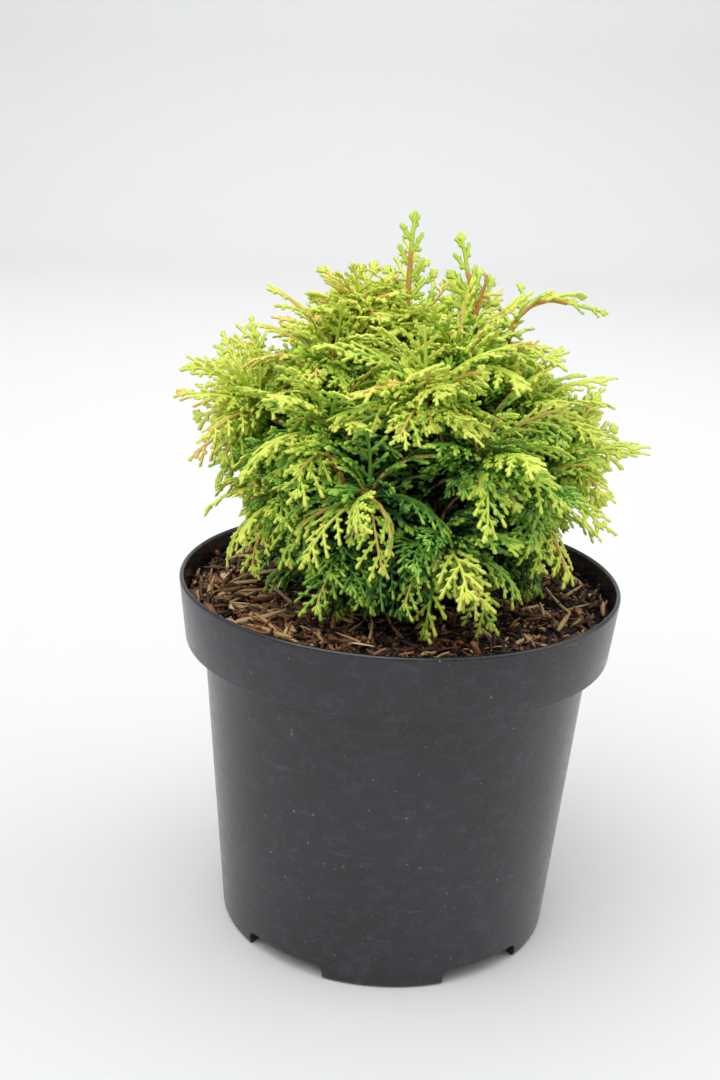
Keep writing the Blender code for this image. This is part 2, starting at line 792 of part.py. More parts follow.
def make_pot(parts, cutters, look):
    """The nursery pot: tapering body, wide collar, raised floor, and notches between its feet."""
    shoulder = COLLAR_BASE_Z + POT_WALL
    inner_body = body_radius(shoulder) - POT_WALL
    profile = [
        (RIM_RADIUS - LIP * 1.6, POT_HEIGHT),
        (RIM_RADIUS - LIP * 0.5, POT_HEIGHT),
        (RIM_RADIUS, POT_HEIGHT - LIP),
        (COLLAR_BASE_RADIUS, COLLAR_BASE_Z),
        (body_radius(COLLAR_BASE_Z), COLLAR_BASE_Z),
        (body_radius(FOOT_BEVEL), FOOT_BEVEL),
        (BASE_RADIUS - FOOT_BEVEL_WIDTH, 0.0),
        (FOOT_INNER_RADIUS, 0.0),
        (FOOT_INNER_RADIUS - FOOT_DRAFT, FLOOR_UNDER_Z),
        (0.0, FLOOR_UNDER_Z),
    ]
    inside = [
        (0.0, FLOOR_TOP_Z),
        (body_radius(FLOOR_TOP_Z) - POT_WALL, FLOOR_TOP_Z),
        (inner_body, shoulder),
        (rim_inner_radius(shoulder), shoulder),
        (rim_inner_radius(POT_HEIGHT) - LIP * 0.3, POT_HEIGHT - LIP),
        (RIM_RADIUS - LIP * 1.6, POT_HEIGHT),
    ]
    pot = turned("pot", profile + inside, parts, look)
    for i in range(FOOT_COUNT):
        between = -math.pi / 2 + 2 * math.pi * (i + 0.5) / FOOT_COUNT
        notch = block((NOTCH_DEPTH, NOTCH_WIDTH, 2 * NOTCH_HEIGHT), cutters)
        place = Matrix.Translation((NOTCH_CIRCLE, 0, 0))
        notch.data.transform(Matrix.Rotation(between, 4, "Z") @ place)
        round_off = notch.modifiers.new("round", "BEVEL")
        round_off.width = NOTCH_ROUND
        round_off.segments = 1
        hole = -math.pi / 2 + 2 * math.pi * i / FOOT_COUNT
        drain = rod(DRAIN_RADIUS, DRAIN_DEPTH, DRAIN_SIDES, cutters)
        place = Matrix.Translation((DRAIN_CIRCLE, 0, FLOOR_TOP_Z))
        drain.data.transform(Matrix.Rotation(hole, 4, "Z") @ place)
    combine(pot, cutters, "DIFFERENCE")
    clear_collection(cutters)
    pot.data.shade_smooth()
    pot.data.set_sharp_from_angle(angle=35 * DEG)
    return pot


def mulch_height(x, y):
    """The top of the bark mulch: uneven, a little lower at the pot, flat round the trunk."""
    out = math.hypot(x, y)
    waves = math.sin(95 * x + 1.3) * math.cos(80 * y - 0.4) + 0.6 * math.sin(170 * y + 120 * x)
    fade = min(1.0, max(0.0, (out - MULCH_FLAT_RADIUS) / MULCH_FADE))
    sink = MULCH_SINK * (out / RIM_RADIUS) ** 4
    return GROUND_Z + fade * (MULCH_RELIEF * (waves - 0.55) * 0.5 - sink)


def make_mulch(parts, look):
    """The root ball, which fills the pot, with its covering of bark mulch."""
    shoulder = COLLAR_BASE_Z + POT_WALL + GAP
    edge = rim_inner_radius(GROUND_Z - MULCH_EDGE_DROP)
    profile = [(0.0, GROUND_Z), (MULCH_FLAT_RADIUS, GROUND_Z)]
    profile += [(edge * k / MULCH_RINGS, GROUND_Z) for k in range(2, MULCH_RINGS)]
    profile += [(edge - GAP, GROUND_Z)]
    profile += [
        (rim_inner_radius(shoulder) - GAP, shoulder),
        (body_radius(shoulder) - POT_WALL - GAP, shoulder),
        (body_radius(FLOOR_TOP_Z) - POT_WALL - GAP, FLOOR_TOP_Z + GAP),
        (0.0, FLOOR_TOP_Z + GAP),
    ]
    mulch = turned("bark_mulch", profile, parts, look)
    for vertex in mulch.data.vertices:
        if vertex.co.z > GROUND_Z - 0.001:
            vertex.co.z = mulch_height(vertex.co.x, vertex.co.y)
    return mulch


def make_trunk(parts, look):
    """The trunk, one tapering limb that flares at its flat foot."""
    line, radii = trunk_line()
    trunk = tube("trunk", line, radii, 3, parts, look)
    for vertex in trunk.data.vertices:
        if vertex.co.z < TRUNK_FOOT.z + FOOT_TRIM:
            vertex.co.z = TRUNK_FOOT.z
    trunk.data.shade_smooth()
    return trunk


def make_bough(mass, parts, cutters, look):
    """The bough of a mass, cut clear of the trunk that it leaves."""
    line, radii = bough_line(mass)
    bough = tube(bough_name(mass), line, radii, 0, parts, look)
    swollen, swollen_radii = trunk_line(GAP)
    cutter = helper(tube("trunk_cutter", swollen, swollen_radii, 3, cutters))
    combine(bough, cutter, "DIFFERENCE")
    clear_collection(cutters)
    keep_largest(bough.data)
    bough.data.shade_smooth()
    return bough


def island_volumes(work):
    """[(signed volume, faces)] of the separate surfaces of a bmesh."""
    found, seen = [], set()
    for face in work.faces:
        if face in seen:
            continue
        island, waiting = [], [face]
        seen.add(face)
        while waiting:
            current = waiting.pop()
            island.append(current)
            for edge in current.edges:
                for other in edge.link_faces:
                    if other not in seen:
                        seen.add(other)
                        waiting.append(other)
        volume = 0.0
        for part in island:
            corners = [loop.vert.co for loop in part.loops]
            for i in range(1, len(corners) - 1):
                volume += corners[0].dot(corners[i].cross(corners[i + 1])) / 6
        found.append((volume, island))
    return found


def keep_largest(mesh):
    """Drops loose scraps and fills sealed hollows, so that one solid is left."""
    work = bmesh.new()
    work.from_mesh(mesh)
    islands = sorted(island_volumes(work), key=lambda item: -item[0])
    for _, faces in islands[1:]:
        bmesh.ops.delete(work, geom=faces, context="FACES")
    loose = [v for v in work.verts if not v.link_faces]
    bmesh.ops.delete(work, geom=loose, context="VERTS")
    work.to_mesh(mesh)
    work.free()


def make_triangles(mesh):
    """Turns every face into triangles, in the first way that lays no two edges together."""
    for method in ("BEAUTY", "EAR_CLIP"):
        work = bmesh.new()
        work.from_mesh(mesh)
        bmesh.ops.triangulate(work, faces=work.faces, ngon_method=method)
        sound = all(len(edge.link_faces) == 2 for edge in work.edges)
        if sound:
            work.to_mesh(mesh)
        work.free()
        if sound:
            return


def stick(name, start, end, radius, end_radius, collection):
    """A three-sided tapering twig between two points."""
    run = end - start
    mesh = bpy.data.meshes.new(name)
    work = bmesh.new()
    bmesh.ops.create_cone(
        work,
        cap_ends=True,
        segments=3,
        radius1=radius,
        radius2=end_radius,
        depth=run.length,
    )
    turn = run.to_track_quat("Z", "Y").to_matrix().to_4x4()
    bmesh.ops.transform(
        work, matrix=Matrix.Translation((start + end) / 2) @ turn, verts=work.verts
    )
    work.to_mesh(mesh)
    work.free()
    return helper(add_object(name, mesh, collection))


def blade(name, canopy, spray, plate, collection):
    """A toothed blade with thickness, bent as its spray is."""
    mesh = plate.copy()
    for vertex, place in zip(mesh.vertices, canopy.blade_points(spray, SPRAY_THICKNESS)):
        vertex.co = place
    return helper(add_object(name, mesh, collection))


def make_mass(mass, canopy, plate, parts, pieces, look):
    """One mass of foliage: its stem, its core, its twigs and its sprays, as one solid."""
    made = tube(mass.name, stem_line(mass), stem_radii(mass), 0, parts, look)
    if mass.core:
        mesh = bpy.data.meshes.new("core")
        points, faces = canopy.cores[mass.name]
        mesh.from_pydata(points, [], faces)
        helper(add_object("core", mesh, pieces))
    for i, twig in enumerate(canopy.twigs[mass.name]):
        if twig.start != twig.end and not mass.core:
            stick(f"twig_{i}", twig.start, twig.end, TWIG_RADIUS, TWIG_END_RADIUS, pieces)
        for k, spray in enumerate(twig.sprays):
            blade(f"spray_{i}_{k}", canopy, spray, plate, pieces)
    combine(made, pieces, "UNION")
    clear_collection(pieces)
    keep_largest(made.data)
    make_triangles(made.data)
    return made


def main():
    for obj in list(bpy.data.objects):
        bpy.data.objects.remove(obj)
    parts = bpy.data.collections.new("dwarf_hinoki_cypress")
    cutters = bpy.data.collections.new("cutters")
    pieces = bpy.data.collections.new("pieces")
    for collection in (parts, cutters, pieces):
        bpy.context.scene.collection.children.link(collection)
    plastic = material("pot_plastic", (0.055, 0.055, 0.062), 0.42)
    bark_chips = material("bark_mulch", (0.16, 0.085, 0.045), 0.9)
    bark = material("bark", (0.32, 0.13, 0.065), 0.8)
    leaves = material("foliage", (0.36, 0.50, 0.07), 0.6)

    make_pot(parts, cutters, plastic)
    make_mulch(parts, bark_chips)
    make_trunk(parts, bark)
    plate = spray_plate(cutters)
    canopy = Canopy(crown_masses(), plate)
    for mass in canopy.masses:
        if mass.bough_height is not None:
            make_bough(mass, parts, cutters, bark)
        make_mass(mass, canopy, plate, parts, pieces, leaves)
    bpy.data.meshes.remove(plate)


main()
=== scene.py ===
"""Looks of a dwarf hinoki cypress in its nursery pot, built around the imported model.

Metres, +Z up. The plant grows by the same rule as its solids and is carried on to finer twigs: each
mass's sprays become fronds of several flat fans, and each fan has side branchlets with blunt lobes.
"""

from dataclasses import dataclass
from math import atan2, ceil, cos, exp, hypot, pi, sin, sqrt
from random import choice, choices, gauss, random, seed, uniform

import bmesh
import bpy
import numpy as np
from mathutils import Matrix, Vector, noise


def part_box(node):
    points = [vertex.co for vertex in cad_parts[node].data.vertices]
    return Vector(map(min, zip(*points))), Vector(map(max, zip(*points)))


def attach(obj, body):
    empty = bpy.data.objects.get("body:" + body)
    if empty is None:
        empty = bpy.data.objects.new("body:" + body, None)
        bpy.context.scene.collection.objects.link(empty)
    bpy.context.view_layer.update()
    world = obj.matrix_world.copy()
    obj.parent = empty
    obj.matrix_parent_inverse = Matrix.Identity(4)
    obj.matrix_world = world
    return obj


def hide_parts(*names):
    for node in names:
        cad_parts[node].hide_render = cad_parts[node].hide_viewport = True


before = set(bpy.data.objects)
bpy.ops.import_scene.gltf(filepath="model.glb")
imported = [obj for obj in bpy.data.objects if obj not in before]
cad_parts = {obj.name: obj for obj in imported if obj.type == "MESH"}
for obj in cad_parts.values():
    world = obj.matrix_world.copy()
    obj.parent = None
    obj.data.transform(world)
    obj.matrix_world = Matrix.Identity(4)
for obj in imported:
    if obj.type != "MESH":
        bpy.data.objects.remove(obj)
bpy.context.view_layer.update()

DEG = pi / 180
CIRCLE = 2 * pi
MM = 0.001
UP = Vector((0, 0, 1))

# Camera, as fitted to the photo's ruler and pot
CAMERA_PLACE = (-0.0163, -0.5566, 0.339)
CAMERA_PITCH = 18.09 * DEG
CAMERA_ROLL = 2.72 * DEG
CAMERA_LENS = 50
CAMERA_SENSOR = 36
CAMERA_NEAR = 0.01

# Studio: a floor that sweeps up into a wall
FLOOR_HALF_WIDTH = 5.0
FLOOR_COLOUR = (227, 228, 228)
WALL_Y = 2.2
WALL_HEIGHT = 4.0
SWEEP_RADIUS = 0.35
# Its light: the direction it is strongest from, where it starts to rise, and its range
STUDIO_COLOUR = (0.985, 0.99, 1.0, 1.0)
STUDIO_TOP = (0.0, 0.45, 0.893)
STUDIO_RISE = (-0.5, 1.0)
STUDIO_RANGE = (0.30, 1.10)
# Lamps: name, place, target, size and power
LAMPS = (
    ("key", (-0.45, -0.55, 1.30), (0, 0, 0.15), 1.3, 10.5),
    ("fill", (1.0, 0.0, 0.9), (0, 0, 0.15), 1.2, 3.5),
    ("backdrop", (0, 0.9, 1.5), (0, 2.2, 0.3), 1.2, 11),
)

# Places read from the frame
POT_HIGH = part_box("pot")[1]
TRUNK_LOW, TRUNK_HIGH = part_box("trunk")
POT_HEIGHT = POT_HIGH.z
RIM_RADIUS = POT_HIGH.x
GROUND_Z = TRUNK_LOW.z
GAP = 0.0003

# Pot
POT_STEPS = 160
COLLAR_BASE_Z = 0.1186
COLLAR_BASE_RADIUS = 0.0835
COLLAR_EDGE = 0.0006
COLLAR_STEP = 0.0004
BODY_TOP_RADIUS = 0.0762
BODY_RINGS = (0.09, 0.05, 0.02, 0.010, 0.005)
BASE_RADIUS = 0.0665
BASE_EDGE = 0.002
POT_WALL = 0.0016
LIP_RADIUS = 0.0012
LIP_INSET = 0.0003
FLOOR_TOP_Z = 0.0082
FLOOR_UNDER_Z = 0.0055
FOOT_INNER_RADIUS = 0.057
FOOT_DRAFT = 0.001
FOOT_COUNT = 5
NOTCH_RADIUS = FOOT_INNER_RADIUS + 0.004
NOTCH_SIZES = (0.020, 0.036, 0.013)
NOTCH_ROUND = 0.003
DRAIN_RADIUS = 0.0045
DRAIN_CIRCLE = 0.046
DRAIN_DEPTH = 0.012
WELD = 0.00002
SHARP_ANGLE = 32 * DEG

# Bark mulch
MULCH_RINGS, MULCH_SIDES = 60, 150
MULCH_RELIEF = 0.0021
MULCH_FLAT_RADIUS = 0.013
MULCH_FADE = 0.012
MULCH_SINK = 0.0012
DUST_RELIEF = 0.0012
DUST_SCALE = 240

# Bark chips, and a fibrous chunk of bark among them
CHIP_COUNT = 4400
CHIP_EDGE = 0.0016
CHIP_TAPERS = (0.55, 1.0, 0.95, 0.45)
CHIP_THICKNESS = 0.0018
LONG_CHIP_SHARE = 0.06
CHIP_FREE_RADIUS = 0.010
FIBRE_PLACE = (-0.050, -0.050)
FIBRE_YAW = -0.5
FIBRE_COUNT = 34
FIBRE_SIZES = (0.0016, 0.0009, 0.0006)

# Trunk and boughs, as in the solids
TRUNK_FOOT = Vector((-0.003, 0.002, GROUND_Z))
TRUNK_LENGTH = TRUNK_HIGH.z - TRUNK_LOW.z
TRUNK_BOW = -0.010
TRUNK_RADIUS = 0.0043
TRUNK_TIP_RADIUS = 0.0012
TRUNK_FLARE = 0.0034
TRUNK_FLARE_HEIGHT = 0.007
BOUGH_ROOT_RADIUS = 0.0021
BOUGH_TIP_RADIUS = 0.0010
BOUGH_NECK = 0.0025
# Rings and sides of their meshes, and how strongly the bark swells and splits
TRUNK_MESH = (150, 40)
BOUGH_MESH = (34, 12)
BARK_RELIEF = 0.10

# The dome of masses, as in the solids, with angles in degrees where they are drawn at random
DOME_RADIUS = 0.083
DOME_MIDDLE_Z = 0.191
DOME_HALF_HEIGHT = 0.081
CROWN_COUNT = 21
CROWN_HEIGHTS = (0.138, 0.266)
CROWN_FIRST = 235 * DEG
CROWN_TURN = 137.5 * DEG
CROWN_SHAKE = 5
CROWN_PITCHES = (22 * DEG, 76 * DEG)
CROWN_END_PITCHES = (4 * DEG, 70 * DEG)
CROWN_STEM = 0.026
CROWN_SPRAY = 0.029
CROWN_CORE = 0.0165
CROWN_BENDS = (80, 45)
CROWN_BOUGH_HEIGHTS = (0.1415, 0.2190)
SPRAY_REACH = 0.92
STEM_POINTS = 4
STEM_RADIUS = 0.0011
STEM_END_RADIUS = 0.0008
CORE_PLACE = 0.70

# The other masses, as in the solids: base, azimuth, pitches of the stem's start and end, lengths of
# the stem and of a spray, radius of the core, bend of a spray, height its bough leaves the trunk at
SHOOTS = {
    "side_left": ((-0.041, -0.006, 0.2010), 176, 34, 12, 0.026, 0.027, 0.012, 40, 0.1858),
    "side_right": ((0.041, 0.003, 0.1880), 5, 26, 2, 0.026, 0.026, 0.012, 40, 0.1710),
    "leader_left": (None, 60, 88, 90, 0.032, 0.014, 0, 25, None),
    "leader_right": ((0.023, 0.006, 0.2440), 150, 84, 66, 0.019, 0.014, 0, 25, 0.2225),
    "arch_right": ((0.037, 0.008, 0.2400), 10, 78, -22, 0.027, 0.017, 0, 30, 0.2185),
    "top_left": ((-0.0150, 0.004, 0.2345), 172, 62, 52, 0.018, 0.016, 0.010, 30, 0.2240),
}

# Fronds of a dense mass: turn and rise from its stem's direction, and size. First those of the
# solids' sprays, then finer ones between them.
ROSETTE = (
    (0, 8, 1.0), (36, 34, 0.95), (-36, 34, 0.95), (70, 4, 0.92), (-70, 4, 0.92),
    (30, -34, 0.88), (-30, -34, 0.88), (0, 72, 0.92), (112, 44, 0.85),
)
FINER = (
    (18, 58, 0.82), (-22, 56, 0.80), (60, 58, 0.78), (-58, 62, 0.78), (4, -16, 0.80), (92, 26, 0.72),
    (-94, 30, 0.72), (-112, 50, 0.75), (2, 34, 0.84), (44, 14, 0.80), (-46, 16, 0.80), (22, 84, 0.78),
    (-60, -18, 0.74), (58, -20, 0.74), (132, 62, 0.72), (-136, 66, 0.72),
)
ROSETTE_SHAKE = 9
ROSETTE_ROOT = 0.70
FROND_OVERLAP = 0.008
FROND_TWIG = (0.0007, 0.0005)
SIDE_FAN_DROOP = 0.45
# Masses whose orange axes show on top of their foremost fans, which lean to the front
BOLD_MASSES = ("foliage_side_left", "foliage_side_right")
BOLD_FRONDS = 3
BOLD_TWIG = (0.0010, 0.0006)
VIEWER = Vector((0.1, -1, 0.25))

# Shaded fans inside: how many a dense mass and a bough have, and those round the trunk, by how many,
# from and to which share of it, their length and steepest pitch
INNER_FANS = 13
INNER_LENGTH = 0.019
BOUGH_FANS = 6
BOUGH_FAN_LENGTH = 0.017
TRUNK_FANS = ((44, 0.08, 0.76, 0.020, 0.8), (46, 0.04, 0.45, 0.038, 0.40))
# Where the front of the dome opens into its dark inside: middle, radii, share of fans left out
HOLLOWS = (
    ((-0.002, -0.066, 0.190), (0.029, 0.034, 0.017), 0.72),
    ((-0.018, -0.064, 0.200), (0.011, 0.030, 0.008), 0.95),
)
# Bare twigs that show inside the hollow: the height they leave the trunk at, and their ends
BARE_TWIGS = ((0.172, (-0.0290, -0.058, 0.2070)), (0.166, (-0.0245, -0.059, 0.2005)))
BARE_TWIG = (0.0013, 0.0005)
# A short bare twig that stands beside the right leader
STUB_FOOT, STUB_HEAD = (0.0235, 0.006, 0.2460), (0.0262, 0.006, 0.2612)

# Shoots: points of the stem, sprigs on it, and where the tip starts on an upright and an arching one
SHOOT_POINTS = 12
SHOOT_SPRIGS = 7
SHOOT_TIP = 0.60
ARCH_TIP = 0.82

# Fans: lengths, in millimetres, and how many kinds of each are made
FAN_LENGTHS = (35.0, 25.0, 17.0, 11.0)
FAN_KINDS = 6
# Their forms: how far apart their branchlets and lobes stand, a lobe's length and half width, the
# half width of an axis, and how far the branchlets reach, as a share of the fan's length
FAN_FORMS = {
    "open": (3.6, 2.15, 3.1, 0.94, 0.74, 0.44),
    "fine": (3.3, 2.1, 3.3, 0.78, 0.56, 0.44),
    "dim": (4.4, 3.0, 4.2, 0.92, 0.60, 0.44),
    "lead": (4.6, 2.6, 3.4, 1.05, 1.00, 0.34),
}
LOBE_THICKNESS = 0.95
LOBE_STATIONS = ((0.0, 0.68), (0.72, 1.0))
END_LOBES = ((0, 1.15), (32, 0.95), (-35, 0.88))
FAN_TWIST = 0.38
FAN_CUP_WIDTH = 0.4
RIM_CLEARANCE = (0.004, 0.0015)
GROUND_CLEARANCE = 0.0005

# Colours, as seen in daylight, from the sunlit tips inwards
LEAF_TINTS = (
    ("gold", (240, 214, 106)),
    ("lemon", (228, 239, 102)),
    ("lime", (200, 224, 80)),
    ("fresh", (160, 204, 74)),
    ("green", (110, 164, 58)),
    ("deep", (56, 108, 46)),
    ("shade", (16, 48, 28)),
    ("amber", (232, 194, 104)),
    ("rust", (166, 112, 56)),
)
GOLD, LEMON, DARKEST, AMBER, RUST = 0, 1, 6, 7, 8
TWIG_TINTS = (("leafy", (182, 182, 72)), ("young", (206, 146, 74)), ("old", (158, 80, 46)))
LEAFY, YOUNG, OLD = 0, 1, 2
CHIP_TINTS = (
    ("black", (30, 19, 14)),
    ("umber", (62, 39, 27)),
    ("brown", (104, 68, 43)),
    ("rust", (150, 96, 56)),
    ("straw", (190, 154, 104)),
    ("pale", (222, 196, 150)),
)
CHIP_SHARES = (0.20, 0.27, 0.24, 0.14, 0.11, 0.04)
LONG_CHIP_TINTS = (2, 3, 4, 4, 5)
FIBRE_TINTS = (2, 3, 3, 4)
LEAF_ROUGHNESS, TWIG_ROUGHNESS, CHIP_ROUGHNESS = 0.45, 0.6, 0.62

# A fan's tint: its darkest, and how far it can lighten. The tints are painted light and shade: fans are
# lighter further out, further up and in the skirt, which lies low and far out, and darker deep inside.
# Some are lighter still by chance.
TINT_DARK, TINT_SPAN = 5.6, 4.3
OPEN_DEPTHS, OPEN_WEIGHT = (0.44, 0.94), 0.80
HIGH_HEIGHTS, HIGH_WEIGHT = (0.165, 0.240), 0.48
SKIRT_DEPTHS, SKIRT_WEIGHT = (0.52, 0.82), 0.46
SKIRT_FOOT, SKIRT_TOP = (0.146, 0.172), (-0.198, -0.178)
BRIGHT_SHARE, BRIGHTER = 0.22, 0.9
TINT_SHAKE = 0.35
# How a tint runs over a fan's zones, the tints up to which fans are open and fine, up to which they
# can turn golden and their axes amber, and from which their axes can turn rusty
ZONE_SPAN, ZONE_MIDDLE, ZONE_SHAKE = 1.7, 0.45, 0.26
OPEN_TINT, DIM_TINT = 3.6, 4.7
GOLDEN_TINT, GOLDEN_SHARE = 2.2, 0.11
AMBER_TINT, AMBER_SHARE = 3.4, 0.30
RUST_TINT, RUST_SHARE = 4.6, 0.4

# Numbers of the Mix node's colour sockets: its two inputs and its output
MIX_FIRST, MIX_SECOND, MIX_RESULT = 6, 7, 2
# The most triangles that a piece may have
PIECE_LIMIT = 190000
# Each part seeds its own random draws, from one of these numbers on
DOME_SEED, MASS_SEED, BOUGH_SEED, TRUNK_SEED = 3000, 1000, 2000, 4000
FAN_SEED, CHIP_SEED = 11, 77


def linear(colour):
    """A colour from 0 to 255 as the eye sees it, as the linear values that a shader takes."""
    shares = [c / 255 for c in colour]
    return tuple(c / 12.92 if c < 0.04045 else ((c + 0.055) / 1.055) ** 2.4 for c in shares)


def between(low, high, share):
    """The value at a share of the way from one to another."""
    return low + (high - low) * share


def smooth(value, low, high):
    """0 below low, 1 above high, and a smooth step between."""
    t = min(max((value - low) / (high - low), 0.0), 1.0)
    return t * t * (3 - 2 * t)


def polar(radius, turn):
    """(x, y) at a radius and an angle."""
    return radius * cos(turn), radius * sin(turn)


def heading(azimuth, pitch):
    """Unit vector at an azimuth from +X and a pitch above the horizon, in radians."""
    return Vector((*polar(cos(pitch), azimuth), sin(pitch)))


def leaning(ahead, side, turn):
    """A direction turned by an angle, or an array of them, towards another one square to it."""
    return ahead * np.cos(turn) + side * np.sin(turn)


def square_to(vector, axis):
    """The part of a vector that is square to an axis, at length 1."""
    return (vector - axis * vector.dot(axis)).normalized()


def along(line, share):
    """(point, direction) at a share of the way along a line of evenly spaced points."""
    place = share * (len(line) - 1)
    i = int(place)
    start, end = line[i], line[i + 1]
    return start.lerp(end, place - i), (end - start).normalized()


def swept(start, leave, end, arrive, pull, steps):
    """Points of a curve between two points that leaves and arrives in two directions."""
    line = []
    for i in range(steps):
        t = i / (steps - 1)
        h00 = 2 * t**3 - 3 * t**2 + 1
        h10 = t**3 - 2 * t**2 + t
        h01 = 3 * t**2 - 2 * t**3
        h11 = t**3 - t**2
        line.append(start * h00 + leave * pull * h10 + end * h01 + arrive * pull * h11)
    return line


# The plant's limbs, by the rule of its solids


@dataclass
class Mass:
    """One mass of foliage: the stem's base and heading, and what it carries."""

    name: str
    base: Vector
    azimuth: float
    pitch: float
    end_pitch: float
    stem_length: float
    spray_length: float
    core: float
    bend: float
    bough_height: float | None
    seed: int


def dome_mass(i):
    """One mass of the dome, laid back from where its outermost spray ends."""
    seed(DOME_SEED + i)
    share = (i + 0.5) / CROWN_COUNT
    tip_z = between(*CROWN_HEIGHTS, share)
    azimuth = CROWN_FIRST + CROWN_TURN * i + uniform(-CROWN_SHAKE, CROWN_SHAKE) * DEG
    pitch, end_pitch = (
        between(*ends, share**1.2) + uniform(-CROWN_SHAKE, CROWN_SHAKE) * DEG
        for ends in (CROWN_PITCHES, CROWN_END_PITCHES)
    )
    size = uniform(0.94, 1.06)
    sizes = (CROWN_STEM * size, CROWN_SPRAY * size, CROWN_CORE)
    bend = between(*CROWN_BENDS, share)
    bough = between(*CROWN_BOUGH_HEIGHTS, share)
    mass = Mass(f"foliage_{i + 1:02d}", Vector(), azimuth, pitch, end_pitch, *sizes, bend, bough, i)
    high = (tip_z - DOME_MIDDLE_Z) / DOME_HALF_HEIGHT
    reach = DOME_RADIUS * sqrt(1 - high * high)
    middle, _ = along(stem_line(mass), CORE_PLACE)
    droop = end_pitch - bend * DEG / 2
    mass.base = Vector((*polar(reach, azimuth), tip_z)) - middle
    mass.base -= heading(azimuth, droop) * mass.spray_length * SPRAY_REACH
    mass.base -= heading(azimuth, end_pitch) * mass.core * ROSETTE_ROOT
    return mass


def plant_masses():
    """Every mass of the plant: the dome's, from the lowest up, then the others."""
    masses = [dome_mass(i) for i in range(CROWN_COUNT)]
    for name, (base, azimuth, pitch, end_pitch, *carried) in SHOOTS.items():
        start = Vector(base or trunk_point(1.0) + UP * GAP)
        angles = (azimuth * DEG, pitch * DEG, end_pitch * DEG)
        masses.append(Mass(f"foliage_{name}", start, *angles, *carried, len(masses)))
    return masses


def stem_line(mass, count=STEM_POINTS):
    """Points along the stem of a mass, which bends from its first pitch to its last."""
    steps = count - 1
    line = [mass.base.copy()]
    for i in range(steps):
        pitch = between(mass.pitch, mass.end_pitch, (i + 0.5) / steps)
        line.append(line[-1] + heading(mass.azimuth, pitch) * (mass.stem_length / steps))
    return line


def trunk_point(share):
    """The trunk's middle at a share of its length. It bows to the left and comes back."""
    bow = TRUNK_BOW * sin(pi * share)
    return TRUNK_FOOT + Vector((bow, 0.3 * bow, TRUNK_LENGTH * share))


def trunk_radius(share):
    """The trunk's radius at a share of its length, with the flare at its foot."""
    taper = between(TRUNK_RADIUS, TRUNK_TIP_RADIUS, share**0.9)
    return taper + TRUNK_FLARE * exp(-share * TRUNK_LENGTH / TRUNK_FLARE_HEIGHT * 1.6)


def bough_curve(mass, steps):
    """(points, radii) of the bough of a mass, from inside the trunk to the mass's stem."""
    share = (mass.bough_height - GROUND_Z) / TRUNK_LENGTH
    start = trunk_point(share)
    out = mass.base - start
    rise = atan2(out.z, hypot(out.x, out.y))
    leave = heading(atan2(out.y, out.x), 0.4 * rise + 0.15)
    arrive = heading(mass.azimuth, mass.pitch)
    neck = mass.base - arrive * (GAP + BOUGH_NECK)
    line = swept(start, leave, neck, arrive, out.length * 0.9, steps)
    root = min(BOUGH_ROOT_RADIUS, trunk_radius(share) * 0.62)
    radii = [between(root, BOUGH_TIP_RADIUS, i / (steps - 1)) for i in range(steps)]
    return line + [mass.base.copy()], radii + [BOUGH_TIP_RADIUS]


# Meshes from arrays


class Shape:
    """Points and triangles that grow as parts are added. Each triangle carries a mark."""

    def __init__(self):
        self.parts = []
        self.count = 0

    def add(self, points, faces, marks):
        """Adds points (n, 3), triangles (m, 3) that index them, and one mark or marks (m,)."""
        self.parts.append((points, faces + self.count, np.broadcast_to(marks, len(faces))))
        self.count += len(points)

    def arrays(self):
        """(points, faces, marks), each as one array."""
        return (np.concatenate(rows) for rows in zip(*self.parts))


def ring_faces(rings, sides, closed_tip=True):
    """Triangles between rings of points, with a fan to one last point if the tip is closed."""
    ring = np.arange(sides)
    after = (ring + 1) % sides
    faces = []
    for i in range(rings - 1):
        a, b = i * sides + ring, i * sides + after
        c, d = a + sides, b + sides
        faces += [np.stack([a, b, d], 1), np.stack([a, d, c], 1)]
    if closed_tip:
        last = (rings - 1) * sides
        tip = np.full(sides, rings * sides)
        faces.append(np.stack([last + ring, last + after, tip], 1))
    return np.concatenate(faces)


def placed(name, data):
    """A new object of some data, in the scene."""
    made = bpy.data.objects.new(name, data)
    bpy.context.scene.collection.objects.link(made)
    return made


def object_from(name, points, faces, material):
    """A smooth mesh object made from points and faces."""
    mesh = bpy.data.meshes.new(name)
    mesh.from_pydata(points, [], faces)
    mesh.shade_smooth()
    mesh.materials.append(material)
    return placed(name, mesh)


def pieces_from(name, shape, materials, replaced):
    """Adds the objects of a shape, one or more for each mark, each under the limit of triangles."""
    points, faces, marks = shape.arrays()
    for mark, (tint, material) in enumerate(materials):
        chosen = faces[marks == mark]
        parts = ceil(len(chosen) / PIECE_LIMIT)
        for i, part in enumerate(np.array_split(chosen, parts)):
            used, places = np.unique(part, return_inverse=True)
            label = f"{name}_{tint}" + (f"_{i + 1}" if parts > 1 else "")
            piece = object_from(label, points[used], places.reshape(part.shape), material)
            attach(piece, "root")
            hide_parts(*replaced)


def tangents_of(line):
    """The unit tangents along an array of points (n, 3)."""
    tangents = np.gradient(line, axis=0)
    return tangents / np.linalg.norm(tangents, axis=1, keepdims=True)


